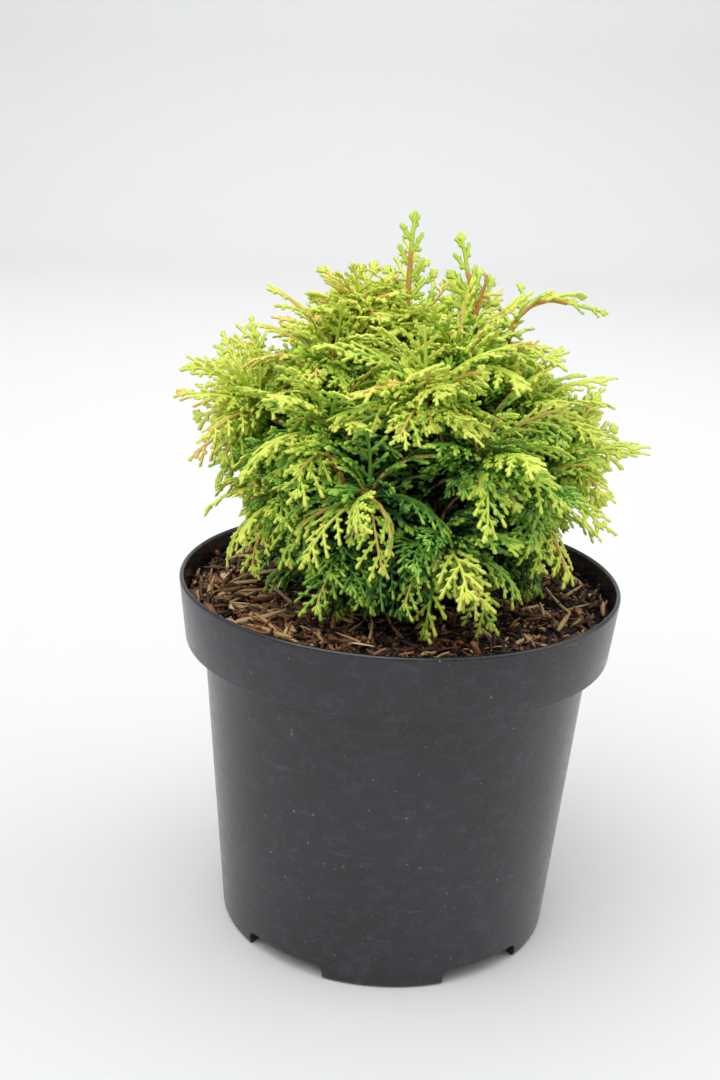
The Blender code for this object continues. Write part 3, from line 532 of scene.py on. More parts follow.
def tube(shape, line, radii, mark, relief):
    """Adds a tube along a line, closed at its tip. Relief scales its radius at (ring, side)."""
    line = np.array(line, float)
    tangents = tangents_of(line)
    side = np.cross(tangents[0], (0.0, 0.0, 1.0) if abs(tangents[0][2]) < 0.9 else (1.0, 0.0, 0.0))
    aside = []
    for tangent in tangents:
        side = side - tangent * (side @ tangent)
        side /= np.linalg.norm(side)
        aside.append(side)
    sides = relief.shape[1]
    turns = np.arange(sides)[:, None] * CIRCLE / sides
    radii = np.array(radii)[:, None] * relief
    other = np.cross(tangents, aside)[:, None]
    spread = np.array(aside)[:, None] * np.cos(turns) + other * np.sin(turns)
    rings = line[:, None] + spread * radii[:, :, None]
    tip = line[-1] + tangents[-1] * radii[-1].mean() * 0.7
    shape.add(np.concatenate([rings.reshape(-1, 3), tip[None]]), ring_faces(len(line), sides), mark)


# Fans


def unit(turn):
    """The unit vector at an angle in the plane of a fan."""
    return np.array((*polar(1, turn), 0.0))


def square(ahead):
    """A vector of the plane of a fan, turned by a right angle."""
    return np.array((-ahead[1], ahead[0], 0.0))


def section(middle, across, thickness):
    """Three points round a leafy part of a fan: one edge, the ridge and the other edge."""
    through = np.array((0.0, 0.0, thickness))
    return [middle + across - 0.2 * through, middle + 0.8 * through, middle - across - 0.2 * through]


def club(shape, start, ahead, length, half_width, mark):
    """Adds a blunt lobe with a ridge, in the plane of a fan, in millimetres."""
    rows = []
    for share, wide in LOBE_STATIONS:
        across = square(ahead) * half_width * wide
        rows += section(start + ahead * length * share, across, LOBE_THICKNESS * wide)
    rows.append(start + ahead * length)
    shape.add(np.array(rows), ring_faces(len(LOBE_STATIONS), 3), mark)


def strip(shape, line, half_widths, thickness, mark):
    """Adds a flat axis with a ridge along a line (n, 3) in the plane of a fan."""
    rows = []
    for middle, tangent, wide in zip(line, tangents_of(line * (1, 1, 0)), half_widths):
        rows += section(middle, square(tangent) * wide, thickness * (0.55 + 0.45 * wide / half_widths[0]))
    rows.append(middle + tangent * wide)
    shape.add(np.array(rows), ring_faces(len(line), 3), mark)


class Fan:
    """A flat fan in its own plane, in millimetres: an axis, side branchlets and blunt lobes.

    Each triangle's mark is its zone's number. A zone has a share, from 0 at the fan's foot to 1 at
    its outermost lobes, which its tint follows. The first zone is the main axis.
    """

    def __init__(self, length, form):
        self.length = length
        step, self.lobe_step, self.lobe, self.half_width, self.axis, reach = form
        self.shape = Shape()
        self.shares = [0.0]
        reach *= length * uniform(0.88, 1.1)
        bow = uniform(-0.10, 0.10)
        strong = choice((1, -1))
        weak = uniform(0.62, 0.95)
        steps = max(4, round(length / 4.5))
        axis = [(length * s, bow * length * s * s, 0.0) for s in np.linspace(-0.03, 0.90, steps)]
        widths = np.linspace(self.axis * 1.05, self.axis * 0.75, steps)
        strip(self.shape, np.array(axis), widths, LOBE_THICKNESS * 1.15, 0)
        hand = strong
        place = 0.09 * length + uniform(0, 1.5)
        while place < 0.88 * length:
            share = place / length
            swell = sin(pi * (0.16 + 0.84 * share) ** 0.85)
            size = reach * (0.30 + 0.80 * swell) * (1 - 0.25 * share)
            size *= uniform(0.82, 1.15) * (1.0 if hand == strong else weak)
            root = np.array((place, bow * length * share * share, 0.0))
            angle = hand * (56 - 18 * share + uniform(-7, 7)) * DEG
            self.branchlet(root, angle, max(size, 3.0), hand, share)
            hand = -hand
            place += step * uniform(0.85, 1.15) * (1.15 - 0.35 * share)
        end = np.array((length * 0.86, bow * length * 0.77, 0.0))
        for turn, size in END_LOBES:
            long = min(1.15 * self.lobe, 0.14 * length + 1.6) * size
            club(self.shape, end, unit(turn * DEG + 2 * bow), long, self.half_width, self.zone(1.0))
        self.points, self.faces, self.marks = self.shape.arrays()
        self.shares = np.array(self.shares)

    def zone(self, share):
        """A new zone at a share, and its number."""
        self.shares.append(share)
        return len(self.shares) - 1

    def branchlet(self, root, angle, size, hand, share):
        """Adds a side branchlet: a thin axis that curves forward, with lobes on both its sides."""
        inner, outer, tip = (self.zone(0.55 * share + more) for more in (0.0, 0.25, 0.45))
        curl = -hand * uniform(8, 24) * DEG
        lift = uniform(-0.9, 0.9) - 0.35
        span = size * 0.72
        steps = 3 if size < 8 else 4
        turns = [angle + curl * i / (steps - 1) for i in range(steps)]
        line = np.cumsum([root] + [unit(turn) * span / (steps - 1) for turn in turns[1:]], axis=0)
        line[:, 2] = lift * np.linspace(0, 1, steps) ** 2
        widths = np.linspace(self.axis, self.axis * 0.85, steps)
        strip(self.shape, line, widths, LOBE_THICKNESS * 0.9, inner)
        place = 1.4
        while place < span:
            t = place / span
            at = min(int(t * (steps - 1)), steps - 2)
            middle = between(line[at], line[at + 1], t * (steps - 1) - at)
            turn = turns[at] + hand * uniform(34, 46) * DEG
            long = min(self.lobe, 0.46 * size) * (1.0 - 0.25 * t) * uniform(0.75, 1.15)
            wide = self.half_width * uniform(0.82, 1.08)
            club(self.shape, middle, unit(turn), long, wide, inner if t < 0.4 else outer)
            hand = -hand
            place += self.lobe_step * uniform(0.85, 1.15)
        long = min(self.lobe * 1.2, 0.5 * size)
        club(self.shape, line[-1], unit(turns[-1]), long, self.half_width, tip)


def make_fans():
    """The kinds of fan of each form and length."""
    seed(FAN_SEED)
    fans = {}
    for form, sizes in FAN_FORMS.items():
        for length in FAN_LENGTHS:
            fans[form, length] = [Fan(length * uniform(0.94, 1.06), sizes) for _ in range(FAN_KINDS)]
    return fans


def bent_fan(fan, root, ahead, face, length, bend, cup, twist):
    """A fan's points in space: it bends down and twists along its length, and cups down aside."""
    scale = length / (fan.length * MM)
    along_it, aside, through = (fan.points * scale * MM).T
    level = np.array(face.cross(ahead))
    ahead, face = np.array(ahead), np.array(face)
    angle = (bend * along_it / length)[:, None]
    radius = length / bend
    spine = radius * np.sin(angle) * ahead - radius * (1 - np.cos(angle)) * face
    upper = leaning(face, ahead, angle)
    roll = (twist * along_it / length)[:, None]
    across = leaning(level, upper, roll)
    normal = leaning(upper, -level, roll)
    curl = FAN_CUP_WIDTH * length / cup
    fold = (cup * aside / (FAN_CUP_WIDTH * length))[:, None]
    side = curl * np.sin(fold) * across - curl * (1 - np.cos(fold)) * normal
    return np.array(root) + spine + side + leaning(normal, across, fold) * through[:, None]


def on_fan(root, ahead, face, length, bend, share):
    """(point, direction, upper) on a bent fan's axis at a share of its length."""
    angle = bend * share
    radius = length / bend
    point = root + ahead * radius * sin(angle) - face * radius * (1 - cos(angle))
    return point, leaning(ahead, -face, angle), leaning(face, ahead, angle)


# Foliage


def depth(point):
    """How deep inside the dome a point is: 0 in the middle, 1 at its surface."""
    high = (point.z - DOME_MIDDLE_Z) / DOME_HALF_HEIGHT
    if high < 0:
        high *= 0.8
    return sqrt((point.x**2 + point.y**2) / DOME_RADIUS**2 + high * high)


def tint_of(point):
    """The tint of a fan, from 0, gold, to the darkest, by how much light reaches it."""
    open_air = smooth(depth(point), *OPEN_DEPTHS)
    high = smooth(point.z, *HIGH_HEIGHTS)
    skirt = smooth(-point.z, *SKIRT_TOP) * smooth(depth(point), *SKIRT_DEPTHS)
    skirt *= 0.15 + 0.85 * smooth(point.z, *SKIRT_FOOT)
    light = OPEN_WEIGHT * open_air + HIGH_WEIGHT * high + SKIRT_WEIGHT * skirt
    tint = TINT_DARK - TINT_SPAN * light
    if random() < BRIGHT_SHARE:
        tint -= BRIGHTER
    return tint + gauss(0, TINT_SHAKE)


def has_room(points):
    """Whether a fan is clear of the mulch, the pot's rim and the dark hollow."""
    out = np.hypot(points[:, 0], points[:, 1])
    aside, above = RIM_CLEARANCE
    by_rim = (points[:, 2] < POT_HEIGHT + above) & (out > RIM_RADIUS - POT_WALL - aside)
    if points[:, 2].min() < GROUND_Z + GROUND_CLEARANCE or by_rim.any():
        return False
    middle = points.mean(axis=0)
    for place, radii, share in HOLLOWS:
        if (((middle - place) / radii) ** 2).sum() < 1 and random() < share:
            return False
    return True


class Plant:
    """Gathers the fans and twigs of the whole plant."""

    def __init__(self):
        self.fans = make_fans()
        self.leaves = Shape()
        self.twigs = Shape()

    def kind(self, form, length):
        """One of the fans of a form whose length is nearest to the one wanted."""
        nearest = min(FAN_LENGTHS, key=lambda millimetres: abs(millimetres * MM - length))
        return choice(self.fans[form, nearest])

    def fan(self, root, ahead, face, length, bend, shift=0.0):
        """Adds one fan of about a length, with its colours dealt out by zone."""
        tint = tint_of(root + ahead * length * 0.5) + shift
        form = "open" if tint < OPEN_TINT else "fine" if tint < DIM_TINT else "dim"
        fan = self.kind(form, length)
        cup = uniform(0.45, 1.0)
        points = bent_fan(fan, root, ahead, face, length, bend, cup, gauss(0, FAN_TWIST))
        if not has_room(points):
            return
        shake = np.array([gauss(0, ZONE_SHAKE) for _ in fan.shares])
        levels = tint + ZONE_SPAN * (ZONE_MIDDLE - fan.shares) + shake
        lightest = GOLD if random() < GOLDEN_SHARE and tint < GOLDEN_TINT else LEMON
        levels = np.clip(np.rint(levels), lightest, DARKEST).astype(int)
        if tint < AMBER_TINT and random() < AMBER_SHARE:
            levels[0] = AMBER
        elif tint > RUST_TINT and random() < RUST_SHARE:
            levels[0] = RUST
        self.leaves.add(points, fan.faces, levels[fan.marks])

    def shaded_fan(self, root, away, length, shift):
        """Adds a fan of the dark inside, about as long as a length."""
        self.fan(root, away, square_to(UP, away), length * uniform(0.85, 1.15), 0.7, shift)

    def sprig(self, root, ahead, face, length, tint, bend, twist):
        """Adds a narrow fan with few plump lobes, as on a leading shoot."""
        fan = self.kind("lead", length)
        points = bent_fan(fan, root, ahead, face, length, bend, 0.7, twist)
        levels = tint + 0.9 * (ZONE_MIDDLE - fan.shares) + gauss(0, 0.2)
        levels = np.clip(np.rint(levels), LEMON, DARKEST).astype(int)
        self.leaves.add(points, fan.faces, levels[fan.marks])

    def stem(self, line, radii, mark, sides):
        """Adds a knotty round stem along a line of points, between two radii."""
        knots = 1 + 0.16 * np.sin(np.arange(len(line)) * 2.1)[:, None] * np.ones(sides)
        tube(self.twigs, line, np.linspace(*radii, len(line)), mark, knots)

    def twig(self, start, leave, end, arrive, radii, mark, sides=5):
        """Adds a curved twig between two points and returns its line."""
        start, end = Vector(start), Vector(end)
        pull = (end - start).length
        line = swept(start, leave, end, arrive, pull, max(4, int(pull / 0.0022)))
        self.stem(line, radii, mark, sides)
        return line

    def frond(self, start, leave, root, ahead, face, length, bend, side_fans):
        """A twig that ends in a fan, with smaller fans on the twig and on the fan's own axis."""
        root = root - ahead * min(FROND_OVERLAP, 0.8 * (root - start).length)
        length += FROND_OVERLAP
        mark = OLD if depth(root) < 0.55 else YOUNG if depth(root) < 0.72 else LEAFY
        line = self.twig(start, leave, root, ahead, FROND_TWIG, mark)
        self.fan(root, ahead, face, length, bend)
        hand = choice((1, -1))
        for k in range(side_fans):
            share = 0.40 + 0.85 * k / side_fans
            if share < 0.95:
                point, direction = along(line, share)
                upper = square_to(face, direction)
            else:
                point, direction, upper = on_fan(root, ahead, face, length, bend, share - 0.95)
            self.side_fan(point, direction, upper, hand, length, bend, k)
            hand = -hand

    def side_fan(self, point, direction, upper, hand, length, bend, k):
        """A smaller fan that leaves a twig to one side, rolled a little out of its plane."""
        turn = hand * uniform(38, 62) * DEG
        ahead = leaning(direction, upper.cross(direction), turn)
        ahead = (ahead - upper * uniform(0, SIDE_FAN_DROOP)).normalized()
        roll = Matrix.Rotation(hand * uniform(-30, 12) * DEG, 3, ahead)
        size = length * uniform(0.48, 0.72) * (1.0 - 0.06 * k)
        self.fan(point, ahead, roll @ square_to(upper, ahead), size, bend * 0.8, 0.25)


def grow_dense(plant, mass):
    """The fronds of a dense mass, which leave its stem on all sides but the inner one."""
    seed(MASS_SEED + mass.seed)
    bold = mass.name in BOLD_MASSES
    line = stem_line(mass)
    middle, ahead = along(line, CORE_PLACE)
    out = heading(mass.azimuth, 0)
    side = UP.cross(out)
    up = ahead.cross(side)
    sky = UP - 0.3 * out
    if bold:
        sky += 0.7 * VIEWER
    mark = YOUNG if bold else OLD
    plant.twig(line[0], ahead, line[-1], ahead, (STEM_RADIUS, STEM_END_RADIUS), mark, 6)
    for k, (turn, rise, size) in enumerate(ROSETTE + FINER):
        turn = (turn + uniform(-ROSETTE_SHAKE, ROSETTE_SHAKE)) * DEG
        rise = (rise + uniform(-ROSETTE_SHAKE, ROSETTE_SHAKE)) * DEG
        away = leaning(leaning(ahead, side, turn), up, rise)
        root = middle + away * mass.core * ROSETTE_ROOT
        finer = k >= len(ROSETTE)
        roll = 0.3 * sin(turn) + (gauss(0, 0.4) if finer else 0)
        face = Matrix.Rotation(roll, 3, away) @ square_to(sky, away)
        length = mass.spray_length * size * uniform(0.93, 1.07)
        bend = mass.bend * uniform(0.8, 1.2) * DEG
        start, leave = along(line, uniform(0.25, 0.62))
        plant.frond(start, leave, root, away, face, length, bend, 3 if finer else 4)
        if bold and k < BOLD_FRONDS:
            end, arrive, upper = on_fan(root, away, face, length, bend, 0.35)
            plant.twig(line[-1], ahead, end + upper * 0.0006, arrive, BOLD_TWIG, YOUNG)
    for _ in range(INNER_FANS):
        turn = uniform(-pi, pi)
        away = leaning(leaning(ahead, side, turn), up, uniform(-0.9, 1.1))
        start, _ = along(line, uniform(0.0, 0.9))
        lean = Vector((uniform(-0.5, 0.5), uniform(-0.5, 0.5), 0))
        length = INNER_LENGTH * uniform(0.8, 1.1)
        plant.fan(start, away, square_to(UP + lean, away), length, 0.8, 0.9)


def grow_bough(plant, mass):
    """Short shaded fans on the outer half of a bough, which darken the inside of the plant."""
    seed(BOUGH_SEED + mass.seed)
    line, _ = bough_curve(mass, 12)
    for k in range(BOUGH_FANS):
        root, ahead = along(line[:-1], 0.45 + 0.5 * k / (BOUGH_FANS - 1))
        out = Matrix.Rotation(uniform(-pi, pi), 3, ahead) @ square_to(UP, ahead)
        plant.shaded_fan(root, (ahead * 0.7 + out).normalized(), BOUGH_FAN_LENGTH, 0.8)


def grow_shoot(plant, mass):
    """A slender shoot: an orange stem with short sprigs on alternate sides and a lobed tip."""
    seed(MASS_SEED + mass.seed)
    stem = stem_line(mass, SHOOT_POINTS)
    last = heading(mass.azimuth, mass.end_pitch)
    if mass.end_pitch > 45 * DEG:
        side, front, twist, tint, top = Vector((1, 0, 0)), VIEWER, 0.2, 2.1, SHOOT_TIP
    else:
        side, front, twist, tint, top = UP.cross(heading(mass.azimuth, 0)), UP, 0.9, 1.6, ARCH_TIP
    plant.stem(stem, (STEM_RADIUS * 0.9, STEM_END_RADIUS), YOUNG, 7)
    end = stem[-1] + last * mass.spray_length
    tip, ahead = along(stem, top)
    bend = 1.1 * ahead.angle(last) if front is UP else 0.06
    plant.sprig(tip, ahead, square_to(front, ahead), (end - tip).length, tint, bend, twist)
    hand = 1 if mass.seed % 2 else -1
    for k in range(SHOOT_SPRIGS):
        share = 0.04 + 0.97 * top * k / (SHOOT_SPRIGS - 1)
        root, ahead = along(stem, share)
        around = Matrix.Rotation(uniform(-0.7, 0.7), 3, ahead)
        away = leaning(ahead, (around @ side) * hand, uniform(0.60, 0.95)).normalized()
        size = (0.0150 - 0.004 * share) * uniform(0.85, 1.15)
        twist = gauss(0, 0.4)
        shade = tint + 0.1 - 0.5 * share
        plant.sprig(root, away, square_to(front, away), size, shade, 0.5, twist)
        hand = -hand


def grow_inside(plant):
    """Short shaded fans round the trunk, which close the view through the plant."""
    seed(TRUNK_SEED)
    for count, low, high, size, steepest in TRUNK_FANS:
        for k in range(count):
            root = trunk_point(low + (high - low) * (k + 0.5) / count)
            plant.shaded_fan(root, heading(CROWN_TURN * k, uniform(0.1, steepest)), size, 0.5)


def make_foliage(masses):
    """The leaves and twigs of every mass."""
    plant = Plant()
    for mass in masses:
        if mass.bough_height is not None:
            grow_bough(plant, mass)
        if mass.core:
            grow_dense(plant, mass)
        else:
            grow_shoot(plant, mass)
    grow_inside(plant)
    for z, end in BARE_TWIGS:
        root = trunk_point((z - GROUND_Z) / TRUNK_LENGTH)
        out = (Vector(end) - root).normalized()
        plant.twig(root, out, end, (out + 0.3 * UP).normalized(), BARE_TWIG, OLD)
    plant.twig(STUB_FOOT, UP, STUB_HEAD, UP, (STEM_RADIUS * 0.65, STEM_END_RADIUS * 0.7), YOUNG, 6)
    names = [mass.name for mass in masses]
    pieces_from("leaves", plant.leaves, tinted("leaf", LEAF_TINTS, LEAF_ROUGHNESS), names)
    pieces_from("twigs", plant.twigs, tinted("twig", TWIG_TINTS, TWIG_ROUGHNESS), names)


# Materials


def plain(name, colour, roughness, specular=0.5):
    """A Principled material of one colour."""
    made = bpy.data.materials.new(name)
    made.use_nodes = True
    shader = made.node_tree.nodes["Principled BSDF"]
    shader.inputs["Base Color"].default_value = (*linear(colour), 1.0)
    shader.inputs["Roughness"].default_value = roughness
    shader.inputs["Specular IOR Level"].default_value = specular
    return made


def tinted(prefix, tints, roughness):
    """(tint, plain material) pairs, from (tint, colour) pairs."""
    return [(tint, plain(f"{prefix}_{tint}", colour, roughness)) for tint, colour in tints]


class Graph:
    """Short calls for building the nodes of a material or of the world."""

    def __init__(self, owner, shader="Principled BSDF", place="Object"):
        self.owner = owner
        owner.use_nodes = True
        self.tree = owner.node_tree
        self.shader = self.tree.nodes[shader]
        self.place = self.add("TexCoord").outputs[place]

    def add(self, kind, inputs=None, **settings):
        """A new node with some of its properties and inputs set."""
        node = self.tree.nodes.new(f"ShaderNode{kind}")
        for key, value in settings.items():
            setattr(node, key, value)
        self.feed(node, inputs or {})
        return node

    def feed(self, node, inputs):
        """Gives some of a node's inputs a constant or another node's output."""
        for key, value in inputs.items():
            if isinstance(value, bpy.types.NodeSocket):
                self.tree.links.new(value, node.inputs[key])
            else:
                node.inputs[key].default_value = value

    def surface(self, colour, roughness, normal):
        """The material, with its shader fed."""
        self.feed(self.shader, {"Base Color": colour, "Roughness": roughness, "Normal": normal})
        return self.owner

    def noise(self, scale, detail, stretch=None, roughness=0.5):
        """A noise value over the object, which can be stretched by axis."""
        place = self.place
        if stretch:
            place = self.add("Mapping", {"Vector": place, "Scale": stretch}).outputs["Vector"]
        inputs = {"Scale": scale, "Detail": detail, "Roughness": roughness, "Vector": place}
        return self.add("TexNoise", inputs).outputs["Fac"]

    def ramp(self, value, stops):
        """Colours by a value, from (place, colour as seen) pairs."""
        node = self.add("ValToRGB", {"Fac": value})
        elements = node.color_ramp.elements
        elements.remove(elements[1])
        for i, (place, colour) in enumerate(stops):
            element = elements[0] if i == 0 else elements.new(place)
            element.position = place
            element.color = (*linear(colour), 1.0)
        return node.outputs["Color"]

    def spread(self, value, low, high, new_low, new_high):
        """A value carried from one range to another."""
        inputs = {"Value": value, "From Min": low, "From Max": high, "To Min": new_low, "To Max": new_high}
        return self.add("MapRange", inputs).outputs["Result"]

    def mix(self, value, first, second):
        """A colour between a node's and another one by a value."""
        inputs = {"Factor": value, MIX_FIRST: first, MIX_SECOND: (*linear(second), 1.0)}
        return self.add("Mix", inputs, data_type="RGBA").outputs[MIX_RESULT]

    def bump(self, height, strength, distance, **below):
        """A bumped normal, which can lie on another one."""
        inputs = {"Height": height, "Strength": strength, "Distance": distance, **below}
        return self.add("Bump", inputs).outputs["Normal"]


def pot_material():
    """Black moulded plastic with a soft shine, a film of dust, scuffs and specks."""
    graph = Graph(bpy.data.materials.new("pot_plastic"))
    cloud = graph.noise(22.0, 5.0)
    grain = graph.noise(900.0, 3.0)
    film = graph.noise(130.0, 8.0, (1.0, 1.0, 1.5), 0.72)
    scuffs = graph.noise(55.0, 7.0, (1.0, 1.0, 7.0), 0.75)
    specks = graph.noise(520.0, 1.0)
    base = graph.ramp(cloud, ((0.30, (19, 18, 25)), (0.70, (33, 31, 40))))
    filmed = graph.mix(graph.spread(film, 0.50, 0.74, 0.0, 0.20), base, (104, 104, 114))
    scuffed = graph.mix(graph.spread(scuffs, 0.60, 0.70, 0.0, 0.24), filmed, (116, 115, 124))
    dusty = graph.mix(graph.spread(specks, 0.74, 0.80, 0.0, 0.5), scuffed, (150, 146, 142))
    roughness = graph.spread(film, 0.35, 0.70, 0.20, 0.36)
    normal = graph.bump(cloud, 0.06, 0.002, Normal=graph.bump(grain, 0.10, 0.0002))
    graph.shader.inputs["Specular IOR Level"].default_value = 0.62
    return graph.surface(dusty, roughness, normal)


def bark_material():
    """Reddish brown bark in thin strips that run along the limb."""
    graph = Graph(bpy.data.materials.new("bark_strips"))
    strips = graph.noise(130.0, 6.0, (1.0, 1.0, 0.22), 0.65)
    flakes = graph.noise(420.0, 4.0)
    browns = ((0.30, (58, 28, 18)), (0.48, (112, 58, 34)), (0.62, (156, 90, 52)), (0.75, (186, 128, 82)))
    colour = graph.ramp(strips, browns)
    roughness = graph.spread(flakes, 0.3, 0.7, 0.70, 0.90)
    normal = graph.bump(strips, 0.6, 0.0008, Normal=graph.bump(flakes, 0.3, 0.0003))
    return graph.surface(colour, roughness, normal)


def soil_material():
    """Dark damp bark dust between the chips."""
    graph = Graph(bpy.data.materials.new("soil"))
    clods = graph.noise(260.0, 6.0)
    colour = graph.ramp(clods, ((0.30, (16, 11, 9)), (0.55, (34, 22, 16)), (0.75, (66, 42, 28))))
    roughness = graph.spread(clods, 0.3, 0.7, 0.75, 0.95)
    normal = graph.bump(clods, 0.8, 0.001)
    return graph.surface(colour, roughness, normal)


# Pot


def rim_inner_radius(z):
    """The pot's inner radius beside the mulch, at a height."""
    share = (z - COLLAR_BASE_Z) / (POT_HEIGHT - COLLAR_BASE_Z)
    return between(COLLAR_BASE_RADIUS, RIM_RADIUS, share) - POT_WALL


def body_radius(z):
    """The pot's outer radius below its collar."""
    return BASE_RADIUS + (BODY_TOP_RADIUS - BASE_RADIUS) * z / COLLAR_BASE_Z


def arc(x, y, radius, first, last, steps):
    """Points of an arc about a middle, with its angles in degrees."""
    turns = [polar(radius, (first + (last - first) * i / steps) * DEG) for i in range(steps + 1)]
    return [(x + out, y + up) for out, up in turns]


def pot_profile():
    """The pot's outline: (radius, height) down its outside, under its floor and up its inside."""
    shoulder = COLLAR_BASE_Z + POT_WALL
    lip_z = POT_HEIGHT - LIP_RADIUS
    lip_inner = rim_inner_radius(POT_HEIGHT) - LIP_INSET
    edge = COLLAR_EDGE
    return [
        *arc(RIM_RADIUS - LIP_RADIUS, lip_z, LIP_RADIUS, 90, 0, 6),
        *arc(COLLAR_BASE_RADIUS - edge, COLLAR_BASE_Z + edge, edge, 0, -90, 4),
        (body_radius(COLLAR_BASE_Z) + COLLAR_STEP, COLLAR_BASE_Z),
        (body_radius(COLLAR_BASE_Z - COLLAR_STEP), COLLAR_BASE_Z - COLLAR_STEP),
        *((body_radius(z), z) for z in BODY_RINGS),
        *arc(body_radius(BASE_EDGE) - BASE_EDGE, BASE_EDGE, BASE_EDGE, 0, -90, 5),
        (FOOT_INNER_RADIUS, 0.0),
        (FOOT_INNER_RADIUS - FOOT_DRAFT, FLOOR_UNDER_Z),
        (0.0, FLOOR_UNDER_Z),
        (0.0, FLOOR_TOP_Z),
        (body_radius(FLOOR_TOP_Z) - POT_WALL, FLOOR_TOP_Z),
        (body_radius(shoulder) - POT_WALL, shoulder),
        (rim_inner_radius(shoulder), shoulder),
        *arc(lip_inner + LIP_RADIUS, lip_z, LIP_RADIUS, 180, 90, 6),
    ]


def apply_modifiers(obj):
    """Applies every modifier of a mesh object."""
    bpy.context.view_layer.update()
    graph = bpy.context.evaluated_depsgraph_get()
    mesh = bpy.data.meshes.new_from_object(obj.evaluated_get(graph))
    obj.modifiers.clear()
    obj.data = mesh


def turned(name, profile, steps):
    """A mesh turned about Z from a profile of (radius, height)."""
    mesh = bpy.data.meshes.new(name)
    points = [(radius, 0.0, height) for radius, height in profile]
    mesh.from_pydata(points, [(i, i + 1) for i in range(len(points) - 1)], [])
    made = placed(name, mesh)
    screw = made.modifiers.new("turn", "SCREW")
    screw.steps = steps
    screw.render_steps = steps
    screw.use_merge_vertices = True
    screw.merge_threshold = WELD
    apply_modifiers(made)
    work = bmesh.new()
    work.from_mesh(made.data)
    bmesh.ops.remove_doubles(work, verts=work.verts, dist=WELD)
    bmesh.ops.recalc_face_normals(work, faces=work.faces)
    work.to_mesh(made.data)
    work.free()
    return made


def notch(work):
    """A block with rounded edges, which clears the space between two feet."""
    bmesh.ops.create_cube(work, size=1.0, matrix=Matrix.Diagonal((*NOTCH_SIZES, 1.0)))
    longest = [e for e in work.edges if abs((e.verts[0].co - e.verts[1].co).x) > NOTCH_SIZES[0] / 2]
    bmesh.ops.bevel(work, geom=longest, offset=NOTCH_ROUND, segments=5, affect="EDGES", profile=0.5)


def drain(work):
    """A rod, which clears a drain hole."""
    radii = {"radius1": DRAIN_RADIUS, "radius2": DRAIN_RADIUS}
    bmesh.ops.create_cone(work, cap_ends=True, segments=32, depth=DRAIN_DEPTH, **radii)


def cut(obj, build, foot, radius, z):
    """Cuts an object with a new block or rod, at a place between its feet, a radius and a height."""
    mesh = bpy.data.meshes.new("cutter")
    work = bmesh.new()
    build(work)
    around = Matrix.Rotation(-pi / 2 + CIRCLE * foot / FOOT_COUNT, 4, "Z")
    place = around @ Matrix.Translation((radius, 0, z))
    bmesh.ops.transform(work, matrix=place, verts=work.verts)
    work.to_mesh(mesh)
    work.free()
    cutter = placed("cutter", mesh)
    boolean = obj.modifiers.new("cut", "BOOLEAN")
    boolean.operation = "DIFFERENCE"
    boolean.solver = "EXACT"
    boolean.object = cutter
    apply_modifiers(obj)
    bpy.data.objects.remove(cutter)


def make_pot(material):
    """The pot with a rolled lip, a wide collar, feet between notches and drain holes."""
    pot = turned("nursery_pot", pot_profile(), POT_STEPS)
    for i in range(FOOT_COUNT):
        cut(pot, notch, i + 0.5, NOTCH_RADIUS, 0)
        cut(pot, drain, i, DRAIN_CIRCLE, FLOOR_TOP_Z)
    pot.data.materials.clear()
    pot.data.materials.append(material)
    pot.data.shade_smooth()
    pot.data.set_sharp_from_angle(angle=SHARP_ANGLE)
    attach(pot, "root")
    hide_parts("pot")


# Mulch and bark


def mulch_height(x, y):
    """The top of the bark mulch: uneven, a little lower at the pot, flat round the trunk."""
    out = hypot(x, y)
    waves = sin(95 * x + 1.3) * cos(80 * y - 0.4) + 0.6 * sin(170 * y + 120 * x)
    fade = min(1.0, max(0.0, (out - MULCH_FLAT_RADIUS) / MULCH_FADE))
    sink = MULCH_SINK * (out / RIM_RADIUS) ** 4
    return GROUND_Z - GAP + fade * (MULCH_RELIEF * (waves - 0.55) * 0.5 - sink)


def mulch_ring(radius):
    """(x, y) of each point of a ring of the mulch."""
    return [polar(radius, CIRCLE * k / MULCH_SIDES) for k in range(MULCH_SIDES)]


def make_mulch(material):
    """The root ball with an uneven top of bark dust, which the chips lie on."""
    top_radius = rim_inner_radius(GROUND_Z) - GAP
    points = [(0.0, 0.0, mulch_height(0, 0))]
    for i in range(1, MULCH_RINGS + 1):
        for x, y in mulch_ring(top_radius * i / MULCH_RINGS):
            dust = DUST_RELIEF * noise.noise(Vector((x, y, 0)) * DUST_SCALE)
            points.append((x, y, mulch_height(x, y) + dust))
    shoulder = COLLAR_BASE_Z + POT_WALL + GAP
    lower = (
        (rim_inner_radius(shoulder) - GAP, shoulder),
        (body_radius(shoulder) - POT_WALL - GAP, shoulder),
        (body_radius(FLOOR_TOP_Z) - POT_WALL - GAP, FLOOR_TOP_Z + GAP),
    )
    for radius, z in lower:
        points += [(x, y, z) for x, y in mulch_ring(radius)]
    points.append((0.0, 0.0, FLOOR_TOP_Z + GAP))
    top = [(0, k + 1, (k + 1) % MULCH_SIDES + 1) for k in range(MULCH_SIDES)]
    rest = ring_faces(MULCH_RINGS + len(lower), MULCH_SIDES)[:, ::-1] + 1
    mulch = object_from("mulch_bed", points, np.concatenate([top, rest]), material)
    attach(mulch, "root")
    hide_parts("bark_mulch")


